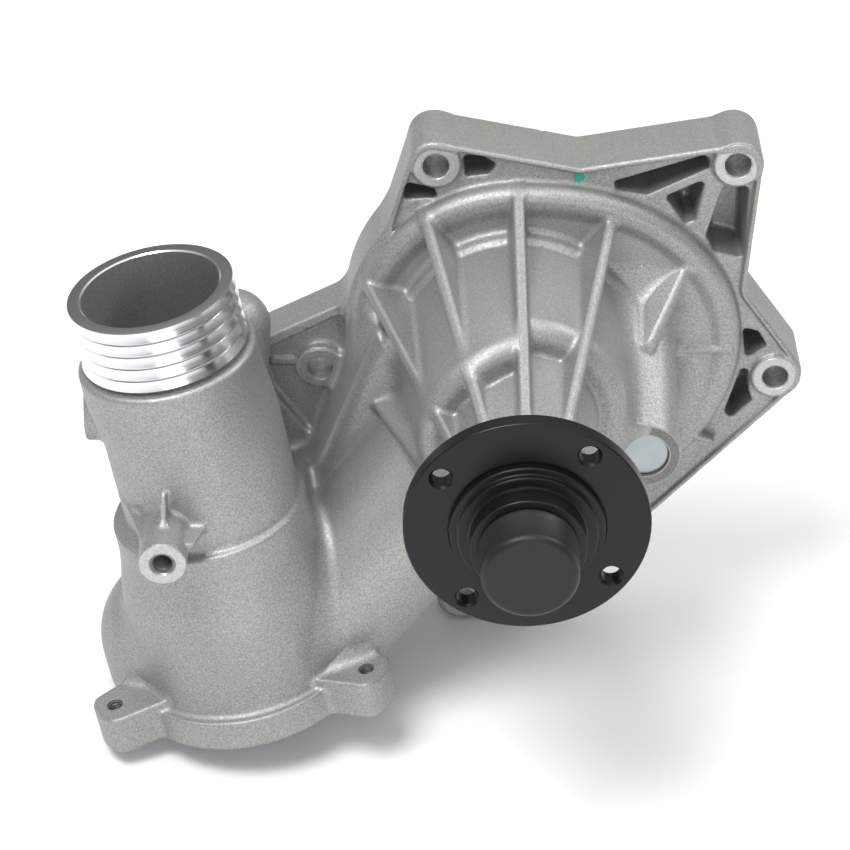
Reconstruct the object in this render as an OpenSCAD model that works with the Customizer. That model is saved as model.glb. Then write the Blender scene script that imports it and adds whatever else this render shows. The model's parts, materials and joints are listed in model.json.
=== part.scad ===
// Engine coolant pump with an integral thermostat chamber and hose neck.
// The origin is the centre of the pulley flange's front face. The pulley side is -Y and +Z is up.
// Most modules are drawn in the face frame: X, then Z, then the distance ahead of the engine face.

/* [Mounting flange] */
// Thickness of the star-shaped mounting flange
flange_t = 24; // [20:0.5:28]
// Diameter of the mounting bolt holes
bolt_hole_d = 9; // [8:0.1:10]
// Outer diameter of the bolt bosses
bolt_boss_d = 17; // [16:0.1:18.5]
// Height of the two top bolts above the shaft
top_bolt_z = 65.5; // [64:0.1:67]
// X of the top left bolt
top_left_x = -28.2; // [-30:0.1:-26]
// X of the top right bolt
top_right_x = 75.5; // [74:0.1:77]
// Height of the two side bolts, below the shaft
side_bolt_z = -20.8; // [-22:0.1:-19]
// X of the right side bolt
right_bolt_x = 93.8; // [92:0.1:95]
// X of the left side bolt, on the bracket
left_bolt_x = -69.7; // [-71:0.1:-68]
// X of the lower bolt
low_bolt_x = -17.5; // [-19:0.1:-16]
// Z of the lower bolt
low_bolt_z = -119.5; // [-121:0.1:-118]
// Depth of the weight-saving pockets
pocket_depth = 20; // [10:0.5:20]

/* [Volute and nose] */
// Outer radius of the round body at the engine face
body_r = 60.3; // [60:0.1:62]
// Outer radius of the volute on its narrow side
volute_r = 58; // [56:0.5:59.5]
// Growth of the volute radius on its wide side
volute_grow = 23; // [18:0.5:24]
// Height of the volute rim ahead of the engine face
volute_h = 29; // [28:0.5:30]
// Thickness of the volute wall
volute_wall = 6; // [5:0.5:7]
// Radius at the foot of the wide stage of the bearing nose
stage_r = 40.5; // [39:0.5:41]
// Distance from the engine face to the shoulder of the wide stage
shoulder_ahead = 86; // [82:1:90]
// Distance from the engine face to the front of the bearing nose
nose_ahead = 114; // [112:0.5:115]
// Outer radius at the front of the bearing nose
nose_r = 23; // [22.5:0.5:25]
// Thickness of the stiffening ribs
rib_t = 3.4; // [2.5:0.1:4]

/* [Thermostat chamber and neck] */
// Lean of the neck and chamber axis away from vertical, in degrees
neck_lean = 10; // [8:0.5:12]
// X of the centre of the hose neck rim
rim_x = -123.8; // [-126:0.1:-122]
// Z of the centre of the hose neck rim
rim_z = 47; // [45:0.5:49]
// Distance of the neck axis ahead of the engine face
neck_ahead = 74; // [72:0.5:76]
// Outer diameter of the hose neck ridges
neck_d = 57; // [56:0.1:58]
// Bore of the hose neck
neck_bore_d = 47.4; // [44:0.1:48]
// Number of hose ridges
ridge_count = 5; // [3:1:5]
// Distance between hose ridges
ridge_pitch = 4.7; // [4:0.1:5]
// Distance from the neck rim to the thermostat face
chamber_len = 165; // [160:0.5:168]
// Outer radius of the thermostat chamber
chamber_r = 38; // [37:0.5:39]
// Bolt circle of the thermostat cover
cover_pcd = 104.4; // [103:0.1:106]
// Tap drill diameter of the thermostat cover threads
cover_thread_d = 5; // [4.5:0.1:5.5]
// Diameter of the thermostat seat
seat_d = 54; // [52:0.5:58]

/* [Accessory boss] */
// Outer diameter of the accessory boss
acc_boss_d = 16.8; // [16:0.1:18]
// Tap drill diameter of the accessory thread
acc_thread_d = 6.8; // [6:0.1:7.2]
// Diameter of the plug in the capped boss beside the hub
plug_d = 17; // [16:0.1:18]

/* [Pulley hub] */
// Diameter of the pulley flange
hub_d = 80; // [76:0.5:84]
// Distance from the engine face to the front of the pulley flange
hub_ahead = 146; // [146:0.5:148]
// Thickness of the pulley flange
hub_t = 6; // [5:0.5:7]
// Bolt circle of the pulley bolts
pulley_pcd = 67.4; // [66:0.1:69]
// Diameter of the pulley bolt holes
pulley_hole_d = 6.6; // [6:0.1:7]
// Diameter of the pulley pilot
pilot_d = 50; // [48:0.5:52]
// Height of the pulley pilot
pilot_h = 2.7; // [2:0.1:3]
// Diameter of the collar in front of the pilot
collar_d = 37.5; // [36:0.5:38]
// Distance from the flange to the front of the collar
collar_h = 12; // [11:0.5:13]
// Diameter of the threaded spigot
spigot_d = 29; // [27:0.5:29.5]
// Outer diameter of the transit cap
cap_d = 32.5; // [32:0.1:33]
// Distance from the flange to the front of the transit cap
cap_front = 27.6; // [27:0.1:29]

/* [Shaft and bearing] */
// Diameter of the shaft
shaft_d = 19; // [18.9:0.05:19.05]
// Outer diameter of the bearing
bearing_d = 38.1; // [38:0.1:38.3]
// Length of the bearing
bearing_len = 54; // [52:0.5:54]
// Number of balls
ball_count = 9; // [7:1:9]
// Number of rollers
roller_count = 10; // [8:1:10]

/* [Impeller] */
// Outer diameter of the impeller
impeller_d = 74; // [66:1:76]
// Number of impeller blades
blade_count = 7; // [5:1:8]

/* [Hidden] */
$fn = 64;
eps = 0.01;

bolt_boss_r = bolt_boss_d / 2;
left_boss_ahead = 17;
trough_h = volute_h - 2;
cavity_h = 20;
shaft_r = shaft_d / 2;

// Places along the shaft, as distances ahead of the engine face
shaft_back = 3;
impeller_back = 3.5;
impeller_front = 18.5;
mating_back = 26;
mating_front = 31;
carbon_front = 37;
seal_seat = 44;
seal_pocket_front = 55;
slinger_back = 55.5;
bearing_back = 58;
bearing_front = bearing_back + bearing_len;
ball_ahead = bearing_back + 15;
roller_ahead = bearing_front - 15;
hub_back = nose_ahead + 3;
shaft_front = hub_ahead + collar_h;
cap_ahead = hub_ahead + cap_front;

// Rolling elements
ball_r = 3.5;
roller_r = 3;
roller_len = 10;
running_gap = 0.05;
ball_pitch_r = 12.6;
roller_pitch_r = shaft_r + roller_r + running_gap;
ring_bore_r = roller_pitch_r + roller_r + running_gap;
seal_t = 2;

// Mechanical seal
seal_pocket_r = 18;
cup_wall = 0.8;
suction_r = 27;

// The arm between the suction chamber and the thermostat chamber, as centre points
arm_start = [-9, -21, 45];
arm_end = [-82, -107, 72];
arm_r = 28.5;
arm_wall = 7;

// Cover ears, as angles about the neck axis
cover_ears = [30, 150, 270];

// The capped boss and the accessory boss, as centres of their faces
plug_at = [43.6, -21.2, 74];
plug_boss_r = 12.4;
acc_at = [-120.2, -31.5, 122];

// A point at radius r and clockwise angle a from straight up
function polar(r, a) = [r * sin(a), r * cos(a)];

// Smooth step from 0 to 1
function ease(t) = t <= 0 ? 0 : t >= 1 ? 1 : t * t * (3 - 2 * t);

// Volute radius at the clockwise angle a from straight up
function volute_at(a) = volute_r + volute_grow * (ease(a / 105) - ease((a - 130) / 45));

// The volute outline, drawn inward by the margin m
function volute_outline(m) = [for (a = [0:5:355]) polar(volute_at(a) - m, a)];

// The arc that rounds the corner b between a and c with radius r, in steps
function unit2(v) = v / norm(v);
function corner(a, b, c, r, steps = 5) =
    let (u = unit2(a - b), v = unit2(c - b), half = acos(u * v) / 2,
        centre = b + unit2(u + v) * (r / sin(half)),
        p = b + u * (r / tan(half)) - centre, q = b + v * (r / tan(half)) - centre,
        turn = (p[0] * q[1] - p[1] * q[0] > 0 ? 1 : -1) * acos(max(-1, min(1, (p * q) / (r * r)))))
    [for (i = [0:steps]) let (t = turn * i / steps)
        centre + [p[0] * cos(t) - p[1] * sin(t), p[0] * sin(t) + p[1] * cos(t)]];

// An outline from [x, z, corner radius] rows
function rounded(rows) = let (n = len(rows), pt = [for (w = rows) [w[0], w[1]]])
    [for (i = [0:n - 1]) each corner(pt[(i + n - 1) % n], pt[i], pt[(i + 1) % n], rows[i][2])];

// Corners of the star flange
star_rows = [[-35, 75.4, 8], [21.4, 63.8, 4], [84.8, 74.5, 8.5], [81, 14, 7], [103.5, -17.5, 7],
    [102.6, -24.8, 6], [8.7, -128.6, 9], [-27, -128.6, 8], [-29, -50, 6], [-44, -20, 8], [-46, 38, 8]];

// Corners of the bracket that carries the left bolt
bracket_rows = [[-94, -10.5, 2], [-46, 14, 3], [-36, -45, 3], [-58, -84, 4], [-104, -60, 3]];

// Corners of the web between the arm and the neck body
web_rows = [[-106, -44, 3], [-76, -48, 3], [-62, -70, 3], [-66, -92, 3], [-104, -92, 3]];

// Corners of the weight-saving pockets
pockets = [
    [[-19.5, 69, 2], [-12, 68, 2], [-7, 65, 1.5], [-10, 61, 1.5], [-18, 60, 1.5]],
    [[-38.5, 58, 1.5], [-40, 51, 2], [-27, 52, 1.5], [-29, 56, 1]],
    [[33, 58, 1.5], [66, 69, 2.5], [66, 63, 1.5], [45, 52.5, 1.5], [34, 54.5, 1.5]],
    [[51, 52, 1.5], [65, 59, 1.5], [62, 42.5, 1], [58.5, 41, 1]],
    [[71, 56, 1.5], [80, 56, 2], [80, 27, 2], [69, 30, 2], [66, 36.5, 1.5]],
    [[81, -1, 1.5], [87, -3, 1.5], [90.5, -9, 1.5], [84, -14, 1.5], [82.5, -12, 1]],
    [[82, -17, 1.5], [84.5, -20, 1], [85, -28, 1.5], [86.5, -32, 1.5], [79, -40, 1.5], [76.5, -37, 1.5]]];

// Draws in the face frame: X, then Z, then the distance ahead of the engine face
module from_face() {
    translate([0, hub_ahead, 0])
        rotate([90, 0, 0])
            children();
}

// Draws in the neck frame: Z is the distance below the rim and Y is toward the pulley side
module from_rim() {
    translate([rim_x, rim_z, neck_ahead])
        rotate([0, 0, neck_lean])
            rotate([90, 0, 0])
                children();
}

// Brings what is drawn in the face frame into the neck frame
module to_rim() {
    rotate([-90, 0, 0])
        rotate([0, 0, -neck_lean])
            translate([-rim_x, -rim_z, -neck_ahead])
                children();
}

// A ring or disc on the shaft axis, from one distance ahead of the face to another
module ring(back, front, outer_r, bore_r = 0) {
    translate([0, 0, back])
        difference() {
            cylinder(r = outer_r, h = front - back);
            if (bore_r > 0)
                translate([0, 0, -eps])
                    cylinder(r = bore_r, h = front - back + 2 * eps);
        }
}

// A cylinder between two points of the face frame
module pipe(a, b, r) {
    d = b - a;
    translate(a)
        rotate([0, acos(d[2] / norm(d)), atan2(d[1], d[0])])
            cylinder(r = r, h = norm(d));
}

module post(x, z, back, front, r) {
    translate([x, z, back])
        cylinder(r = r, h = front - back);
}

// The star flange with its volute and weight-saving pockets
module star_flange() {
    difference() {
        union() {
            linear_extrude(flange_t)
                polygon(rounded(star_rows));
            cylinder(r = body_r, h = flange_t);
            for (p = [[top_left_x, top_bolt_z], [top_right_x, top_bolt_z],
                    [right_bolt_x, side_bolt_z], [low_bolt_x, low_bolt_z]])
                post(p[0], p[1], 0, flange_t, bolt_boss_r);
        }
        for (rows = pockets)
            translate([0, 0, flange_t - pocket_depth])
                linear_extrude(pocket_depth + 1)
                    polygon(rounded(rows));
    }
}

// The bracket that carries the left bolt, with a recess round its boss
module bracket() {
    recess_ahead = 13;
    wall = 4;
    difference() {
        linear_extrude(left_boss_ahead)
            polygon(rounded(bracket_rows));
        translate([0, 0, recess_ahead])
            linear_extrude(left_boss_ahead)
                polygon(rounded([[-93, -10 - wall, 1], [-50, 12 - wall, 1], [-40, -45, 1], [-58, -80, 2],
                    [-100, -58, 2]]));
    }
    post(left_bolt_x, side_bolt_z, 0, left_boss_ahead, bolt_boss_r);
}

// The web that fills the corner between the arm and the neck body, below the bracket
module web() {
    web_ahead = 62;
    translate([0, 0, 4])
        linear_extrude(web_ahead)
            polygon(rounded(web_rows));
}

// The volute wall with its raised rim
module volute() {
    difference() {
        linear_extrude(volute_h)
            polygon(volute_outline(0));
        translate([0, 0, trough_h])
            linear_extrude(volute_h)
                polygon(volute_outline(volute_wall));
    }
}

// The bearing nose and its ribs
module nose() {
    ledge = 2;
    rotate_extrude()
        polygon([[0, cavity_h], [stage_r + ledge, cavity_h], [stage_r + ledge, trough_h + 3],
            [stage_r, trough_h + 4], [stage_r - 3, shoulder_ahead - 7],
            [stage_r - 7, shoulder_ahead], [nose_r + 4, shoulder_ahead],
            [nose_r, nose_ahead], [0, nose_ahead]]);
    for (a = [0, -34.5, 35.5])
        rib(a, 56, nose_r + 3, nose_ahead - 1);
    rib(-66, 53, stage_r - 1, shoulder_ahead - 4);
    rib(63, 65, stage_r + 3, 66);
}

// A rib at the clockwise angle a from up, from the volute rim to the radius and distance of its top
module rib(a, foot_r, top_r, top_ahead) {
    foot_ahead = trough_h - 4;
    depth = 12;
    rotate([0, 0, -a])
        rotate([90, 0, 90])
            translate([0, 0, -rib_t / 2])
                linear_extrude(rib_t)
                    polygon([[top_r - depth, foot_ahead], [foot_r, foot_ahead], [foot_r, trough_h + 1],
                        [top_r, top_ahead], [top_r - depth, top_ahead]]);
}

// The hose neck, the thermostat chamber and its three-eared flange, solid
module chamber_outside() {
    groove_r = neck_d / 2 - 2;
    groove_len = 3;
    body_top = ridge_count * ridge_pitch + 2;
    body_top_r = 31;
    body_foot_r = 32;
    body_len = 32;
    body_offset = 2.5;
    offset_drop = 20;
    shoulder = 90.5;
    shoulder_r = 34.5;
    shoulder_len = 12;
    lobe_r = 30;
    lobe_at = [-22, -12, 150];
    flange_top = 153;
    cylinder(d = neck_d, h = body_top);
    translate([0, 0, body_top - 2])
        cylinder(r = groove_r, h = groove_len + 2);
    translate([0, 0, body_top])
        cylinder(r1 = body_top_r, r2 = body_foot_r, h = body_len);
    translate([body_offset, 0, body_top + offset_drop])
        cylinder(r = body_top_r - 0.5, h = shoulder + 2 - body_top - offset_drop);
    translate([0, 0, shoulder])
        cylinder(r1 = shoulder_r, r2 = chamber_r, h = shoulder_len);
    translate([0, 0, shoulder + shoulder_len])
        cylinder(r = chamber_r, h = flange_top + 2 - shoulder - shoulder_len);
    above_flange()
        translate(lobe_at)
            sphere(r = lobe_r);
    translate([0, 0, flange_top])
        linear_extrude(chamber_len - flange_top)
            cover_flange();
}

// Trims what would stick out below the chamber's flange. Drawn in the neck frame
module above_flange() {
    set_back = 1;
    cut_r = 90;
    cut_len = 60;
    difference() {
        children();
        translate([0, 0, chamber_len - set_back])
            cylinder(r = cut_r, h = cut_len);
    }
}

// The outline of the chamber's flange, a ring with three ears
module cover_flange() {
    ear_r = 9.3;
    ear_foot_r = 26;
    ring_r = 42.5;
    circle(r = ring_r);
    for (a = cover_ears)
        rotate([0, 0, a])
            hull() {
                circle(r = ear_foot_r, $fn = 32);
                translate([cover_pcd / 2, 0])
                    circle(r = ear_r, $fn = 32);
            }
}

// The hose ridges are left by cutting grooves round the neck
module ridge_grooves() {
    groove_depth = 2;
    for (i = [0:ridge_count - 1])
        translate([0, 0, 1.6 + i * ridge_pitch])
            rotate_extrude()
                polygon([[neck_d / 2 - groove_depth, 0.8], [neck_d / 2 + 1, 0],
                    [neck_d / 2 + 1, ridge_pitch - 1.2], [neck_d / 2 - groove_depth, ridge_pitch - 2]]);
}

// The passages inside the neck and chamber
module chamber_inside() {
    seat_depth = 4;
    neck_bore_end = 96;
    thread_depth = 20;
    translate([0, 0, -1])
        cylinder(d = neck_bore_d, h = neck_bore_end + 1);
    translate([0, 0, neck_bore_end - 1])
        cylinder(r = chamber_r - 5, h = chamber_len - neck_bore_end - 5);
    translate([0, 0, chamber_len - seat_depth - 5])
        cylinder(d = seat_d - 6, h = 12);
    translate([0, 0, chamber_len - seat_depth])
        cylinder(d = seat_d, h = seat_depth + 1);
    for (a = cover_ears)
        rotate([0, 0, a])
            translate([cover_pcd / 2, 0, chamber_len - thread_depth])
                cylinder(d = cover_thread_d, h = thread_depth + 1);
}

module arm_outside() {
    from_rim()
        above_flange()
            to_rim()
                pipe(arm_start, arm_end, arm_r);
    translate(arm_start)
        sphere(r = arm_r);
}

// The rounded hump behind the neck, where the cast passage turns toward the engine
module rear_hump() {
    hump_top = [-99.3, 8.6, 35.7];
    hump_foot = [-103.6, -31.3, 44.4];
    hump_r = 12.7;
    pipe(hump_top, hump_foot, hump_r);
    translate(hump_top)
        sphere(r = hump_r);
}

module arm_inside() {
    pipe(arm_start, arm_end, arm_r - arm_wall);
}

// The boss beside the hub, closed by the plug, with a web that slopes up to the nose
module plug_boss() {
    boss_foot = 15;
    web_foot = [42, 4, trough_h];
    post(plug_at[0], plug_at[1], cavity_h, plug_at[2], plug_boss_r);
    translate([plug_at[0], plug_at[1], cavity_h])
        cylinder(r1 = boss_foot, r2 = plug_boss_r - 1, h = plug_at[2] - cavity_h - 10);
    pipe(web_foot, plug_at - [0, 0, 9], plug_boss_r - 0.5);
}

module accessory_boss() {
    fin_t = 3;
    post(acc_at[0], acc_at[1], neck_ahead + 5, acc_at[2], acc_boss_d / 2);
    translate([acc_at[0] - fin_t / 2, acc_at[1], neck_ahead + 10])
        cube([fin_t, 20, acc_at[2] - neck_ahead - 22]);
}

// A flat pad on the outer side of the neck body
module side_pad() {
    pad_at = [-148.5, -5, neck_ahead - 6];
    pad_r = 10.5;
    pad_depth = 24;
    translate(pad_at)
        rotate([0, 90, 0])
            cylinder(r = pad_r, h = pad_depth);
}

module housing() {
    plug_bore_depth = 12;
    gasket_groove_depth = 2;
    drill_depth = 22;
    land_r = 13;
    color([0.68, 0.68, 0.65])
        from_face()
            difference() {
                union() {
                    star_flange();
                    bracket();
                    web();
                    volute();
                    nose();
                    arm_outside();
                    rear_hump();
                    plug_boss();
                    accessory_boss();
                    side_pad();
                    from_rim()
                        chamber_outside();
                }
                translate([0, 0, -1])
                    linear_extrude(cavity_h + 1)
                        polygon(volute_outline(volute_wall + 1));
                ring(cavity_h - 1, seal_seat, suction_r);
                ring(seal_seat - 1, seal_pocket_front, seal_pocket_r);
                ring(seal_pocket_front - 1, bearing_back + 1, land_r);
                ring(bearing_back, nose_ahead + 1, bearing_d / 2);
                arm_inside();
                from_rim()
                    chamber_inside();
                from_rim()
                    ridge_grooves();
                for (p = [[top_left_x, top_bolt_z], [top_right_x, top_bolt_z],
                        [right_bolt_x, side_bolt_z], [left_bolt_x, side_bolt_z],
                        [low_bolt_x, low_bolt_z]])
                    post(p[0], p[1], -1, flange_t + 1, bolt_hole_d / 2);
                post(plug_at[0], plug_at[1], plug_at[2] - plug_bore_depth, plug_at[2] + 1, plug_d / 2);
                post(acc_at[0], acc_at[1], acc_at[2] - drill_depth, acc_at[2] + 1, acc_thread_d / 2);
                translate([0, 0, -1])
                    linear_extrude(gasket_groove_depth + 1)
                        difference() {
                            polygon(volute_outline(volute_wall - 4.5));
                            polygon(volute_outline(volute_wall - 1.5));
                        }
            }
}

// A thin pressed cup that closes the boss beside the hub
module weep_plug() {
    wall = 1.6;
    face_set_back = 1.2;
    plug_len = 7;
    color([0.67, 0.71, 0.73])
        from_face()
            translate([plug_at[0], plug_at[1], plug_at[2] - face_set_back - plug_len])
                difference() {
                    cylinder(d = plug_d, h = plug_len);
                    translate([0, 0, -eps])
                        cylinder(d = plug_d - 2 * wall, h = plug_len - wall);
                }
}

// The rubber profile in the groove of the engine face
module profile_gasket() {
    color([0.12, 0.12, 0.13])
        from_face()
            linear_extrude(2)
                difference() {
                    polygon(volute_outline(volute_wall - 4.5));
                    polygon(volute_outline(volute_wall - 1.5));
                }
}

// The pulley flange with its barrel, pilot, collar and threaded spigot
module pulley_hub() {
    barrel_r = 20;
    pilot_step_r = 22.5;
    spigot_front = cap_ahead - 3;
    thread_pitch = 1.5;
    thread_depth = 0.9;
    thread_count = floor((spigot_front - shaft_front - 2) / thread_pitch);
    chamfer = 0.6;
    first_hole_angle = 55.3;
    color([0.16, 0.16, 0.17])
        from_face()
            difference() {
                rotate_extrude()
                    polygon([[0, hub_back], [barrel_r, hub_back], [barrel_r, hub_ahead - hub_t],
                        [hub_d / 2 - chamfer, hub_ahead - hub_t], [hub_d / 2, hub_ahead - hub_t + chamfer],
                        [hub_d / 2, hub_ahead - chamfer], [hub_d / 2 - chamfer, hub_ahead],
                        [pilot_d / 2, hub_ahead], [pilot_d / 2, hub_ahead + pilot_h],
                        [pilot_step_r, hub_ahead + pilot_h], [collar_d / 2 + 1, hub_ahead + pilot_h + 2],
                        [collar_d / 2, hub_ahead + pilot_h + 2], [collar_d / 2, hub_ahead + collar_h - 1],
                        [collar_d / 2 - 1, hub_ahead + collar_h], [spigot_d / 2, hub_ahead + collar_h],
                        [spigot_d / 2, spigot_front - 1], [spigot_d / 2 - 1, spigot_front],
                        [0, spigot_front]]);
                ring(hub_back - 1, shaft_front, shaft_r);
                for (i = [0:3])
                    rotate([0, 0, first_hole_angle + 90 * i])
                        translate([pulley_pcd / 2, 0, hub_ahead - hub_t - 1])
                            cylinder(d = pulley_hole_d, h = hub_t + 2);
                for (i = [0:thread_count - 1])
                    translate([0, 0, shaft_front + 2 + i * thread_pitch])
                        rotate_extrude()
                            polygon([[spigot_d / 2 - thread_depth, thread_pitch / 2], [spigot_d / 2 + 1, -0.1],
                                [spigot_d / 2 + 1, thread_pitch + 0.1]]);
            }
}

// The plastic cap that covers the threaded spigot until the pump is fitted
module nose_cap() {
    wall = 1.6;
    edge_r = 3;
    cap_back = shaft_front + 0.3;
    clearance = 0.1;
    color([0.2, 0.2, 0.2])
        from_face()
            rotate_extrude()
                polygon(concat([[spigot_d / 2 + clearance, cap_back], [cap_d / 2, cap_back]],
                    [for (t = [0:15:90]) [cap_d / 2 - edge_r + edge_r * cos(t),
                        cap_ahead - edge_r + edge_r * sin(t)]],
                    [[0, cap_ahead], [0, cap_ahead - wall], [spigot_d / 2 + clearance, cap_ahead - wall]]));
}

// The shaft, with the groove that the balls run in
module shaft() {
    color([0.75, 0.76, 0.78])
        from_face()
            difference() {
                ring(shaft_back, shaft_front, shaft_r);
                translate([0, 0, ball_ahead])
                    rotate_extrude()
                        translate([ball_pitch_r, 0])
                            circle(r = ball_r + running_gap);
            }
}

module bearing_outer_ring() {
    color([0.7, 0.71, 0.73])
        from_face()
            difference() {
                ring(bearing_back, bearing_front, bearing_d / 2, ring_bore_r);
                translate([0, 0, ball_ahead])
                    rotate_extrude()
                        translate([ball_pitch_r, 0])
                            circle(r = ball_r + running_gap);
            }
}

module bearing_balls() {
    color([0.85, 0.86, 0.88])
        from_face()
            for (i = [0:ball_count - 1])
                rotate([0, 0, 360 / ball_count * i])
                    translate([ball_pitch_r, 0, ball_ahead])
                        sphere(r = ball_r, $fn = 32);
}

// A cage ring with one pocket for each rolling element
module cage(ahead, width, pitch_r, count, pocket_w, pocket_len) {
    half_t = 1.5;
    color([0.75, 0.62, 0.35])
        from_face()
            difference() {
                ring(ahead - width / 2, ahead + width / 2, pitch_r + half_t, pitch_r - half_t);
                for (i = [0:count - 1])
                    rotate([0, 0, 360 / count * i])
                        translate([pitch_r, 0, ahead])
                            cube([8, pocket_w, pocket_len], center = true);
            }
}

module ball_cage() {
    cage(ball_ahead, 10, ball_pitch_r, ball_count, 2 * ball_r + 0.2, 2 * ball_r + 0.2);
}

module bearing_rollers() {
    color([0.85, 0.86, 0.88])
        from_face()
            for (i = [0:roller_count - 1])
                rotate([0, 0, 360 / roller_count * i])
                    translate([roller_pitch_r, 0, roller_ahead - roller_len / 2])
                        cylinder(r = roller_r, h = roller_len, $fn = 32);
}

module roller_cage() {
    cage(roller_ahead, 14, roller_pitch_r, roller_count, 2 * roller_r + 0.2, roller_len + 0.4);
}

module bearing_seal(back) {
    color([0.15, 0.15, 0.16])
        from_face()
            ring(back, back + seal_t, ring_bore_r, shaft_r + 0.1);
}

module bearing_seal_front() {
    bearing_seal(bearing_front - seal_t - 0.5);
}

module bearing_seal_rear() {
    bearing_seal(bearing_back + 0.5);
}

// A rubber ring on the shaft that throws off any leak before it meets the bearing
module slinger_ring() {
    color([0.13, 0.13, 0.14])
        from_face()
            rotate_extrude()
                polygon([[shaft_r, slinger_back], [11.6, slinger_back], [12.2, slinger_back + 0.7],
                    [11, slinger_back + 1.6], [shaft_r, slinger_back + 1.6]]);
}

// The pressed steel cup that holds the stationary half of the seal
module seal_cup() {
    lip_r = 20.5;
    inner_r = 10.8;
    color([0.72, 0.7, 0.6])
        from_face()
            rotate_extrude()
                polygon([[lip_r, seal_seat - cup_wall], [lip_r, seal_seat], [seal_pocket_r, seal_seat],
                    [seal_pocket_r, seal_pocket_front - 1], [inner_r, seal_pocket_front - 1],
                    [inner_r, seal_pocket_front - 1 - cup_wall],
                    [seal_pocket_r - cup_wall, seal_pocket_front - 1 - cup_wall],
                    [seal_pocket_r - cup_wall, seal_seat - cup_wall]]);
}

// The corrugated rubber sleeve between the cup and the carbon ring
module seal_bellows() {
    front = seal_pocket_front - 1 - cup_wall;
    fold_count = 3;
    fold = (front - carbon_front - 2) / fold_count;
    inner = [for (i = [0:fold_count - 1]) each [[10.9, carbon_front + 1 + i * fold],
        [12.1, carbon_front + 1 + (i + 0.5) * fold]]];
    outer = [for (i = [fold_count - 1:-1:0]) each [[13.3, carbon_front + 1 + (i + 0.5) * fold],
        [12.1, carbon_front + 1 + i * fold]]];
    color([0.1, 0.1, 0.11])
        from_face()
            rotate_extrude()
                polygon(concat([[10.9, carbon_front]], inner, [[10.9, front], [12.1, front]], outer,
                    [[12.1, carbon_front]]));
}

// The coil spring that presses the carbon ring onto the mating ring
module seal_spring() {
    wire_r = 0.7;
    coil_r = 15.2;
    coils = 4;
    sides = 6;
    per_coil = 24;
    back = carbon_front + wire_r + 0.05;
    front = seal_pocket_front - 1 - cup_wall - wire_r - 0.05;
    steps = coils * per_coil;
    points = [for (i = [0:steps]) let (a = 360 * i / per_coil) for (j = [0:sides - 1])
        let (b = 360 * j / sides, r = coil_r + wire_r * cos(b))
        [r * cos(a), r * sin(a), back + (front - back) * i / steps + wire_r * sin(b)]];
    walls = [for (i = [0:steps - 1]) for (j = [0:sides - 1]) let (k = (j + 1) % sides)
        [i * sides + j, i * sides + k, (i + 1) * sides + k, (i + 1) * sides + j]];
    ends = [[for (j = [sides - 1:-1:0]) j], [for (j = [0:sides - 1]) steps * sides + j]];
    color([0.78, 0.79, 0.8])
        from_face()
            polyhedron(points, concat(walls, ends));
}

// The carbon ring, pressed by the spring onto the mating ring
module seal_carbon_ring() {
    color([0.2, 0.2, 0.22])
        from_face()
            rotate_extrude()
                polygon([[10.6, mating_front], [13.6, mating_front], [13.6, mating_front + 2],
                    [16.2, mating_front + 2], [16.2, carbon_front], [10.6, carbon_front]]);
}

// The hard ring that turns with the shaft
module seal_mating_ring() {
    color([0.85, 0.84, 0.8])
        from_face()
            ring(mating_back, mating_front, 15, 11.3);
}

// The rubber boot between the mating ring and the shaft
module mating_ring_boot() {
    color([0.11, 0.11, 0.12])
        from_face()
            rotate_extrude()
                polygon([[shaft_r, mating_back - 1.5], [14.5, mating_back - 1.5], [14.5, mating_back],
                    [11.3, mating_back], [11.3, mating_front - 0.6], [shaft_r, mating_front - 0.6]]);
}

// One curved blade, a sector of a ring that passes from the eye to the rim
module blade() {
    blade_t = 2.2;
    arc_r = 26;
    arc_x = 14;
    arc_y = -21.5;
    intersection() {
        translate([arc_x, arc_y])
            difference() {
                circle(r = arc_r);
                circle(r = arc_r - blade_t);
            }
        difference() {
            circle(d = impeller_d);
            circle(r = 13);
        }
        translate([0, -4])
            square([impeller_d, impeller_d]);
    }
}

module impeller() {
    disc_t = 2.5;
    hub_r = 14;
    color([0.5, 0.5, 0.5])
        from_face()
            difference() {
                union() {
                    ring(impeller_back, impeller_back + disc_t, impeller_d / 2);
                    ring(impeller_back, impeller_front + 4, hub_r);
                    for (i = [0:blade_count - 1])
                        rotate([0, 0, 360 / blade_count * i])
                            translate([0, 0, impeller_back + disc_t - eps])
                                linear_extrude(impeller_front - impeller_back - disc_t)
                                    blade();
                }
                ring(impeller_back - 1, impeller_front + 5, shaft_r + 2);
            }
}

// The steel bush between the shaft and the impeller
module impeller_bush() {
    color([0.6, 0.6, 0.62])
        from_face()
            ring(impeller_back, impeller_front + 4, shaft_r + 2, shaft_r);
}

housing();
weep_plug();
profile_gasket();
pulley_hub();
nose_cap();
shaft();
bearing_outer_ring();
bearing_balls();
ball_cage();
bearing_rollers();
roller_cage();
bearing_seal_front();
bearing_seal_rear();
slinger_ring();
seal_cup();
seal_bellows();
seal_spring();
seal_carbon_ring();
seal_mating_ring();
mating_ring_boot();
impeller();
impeller_bush();
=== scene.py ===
"""Looks of the engine coolant pump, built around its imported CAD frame.

The casting is one solid described by signed distances in millimetres, with true fillets, and meshed by
dual contouring. Turned pieces are lathed. Lengths are millimetres until a mesh is made.
"""
import json
import math
from concurrent.futures import ThreadPoolExecutor

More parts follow.
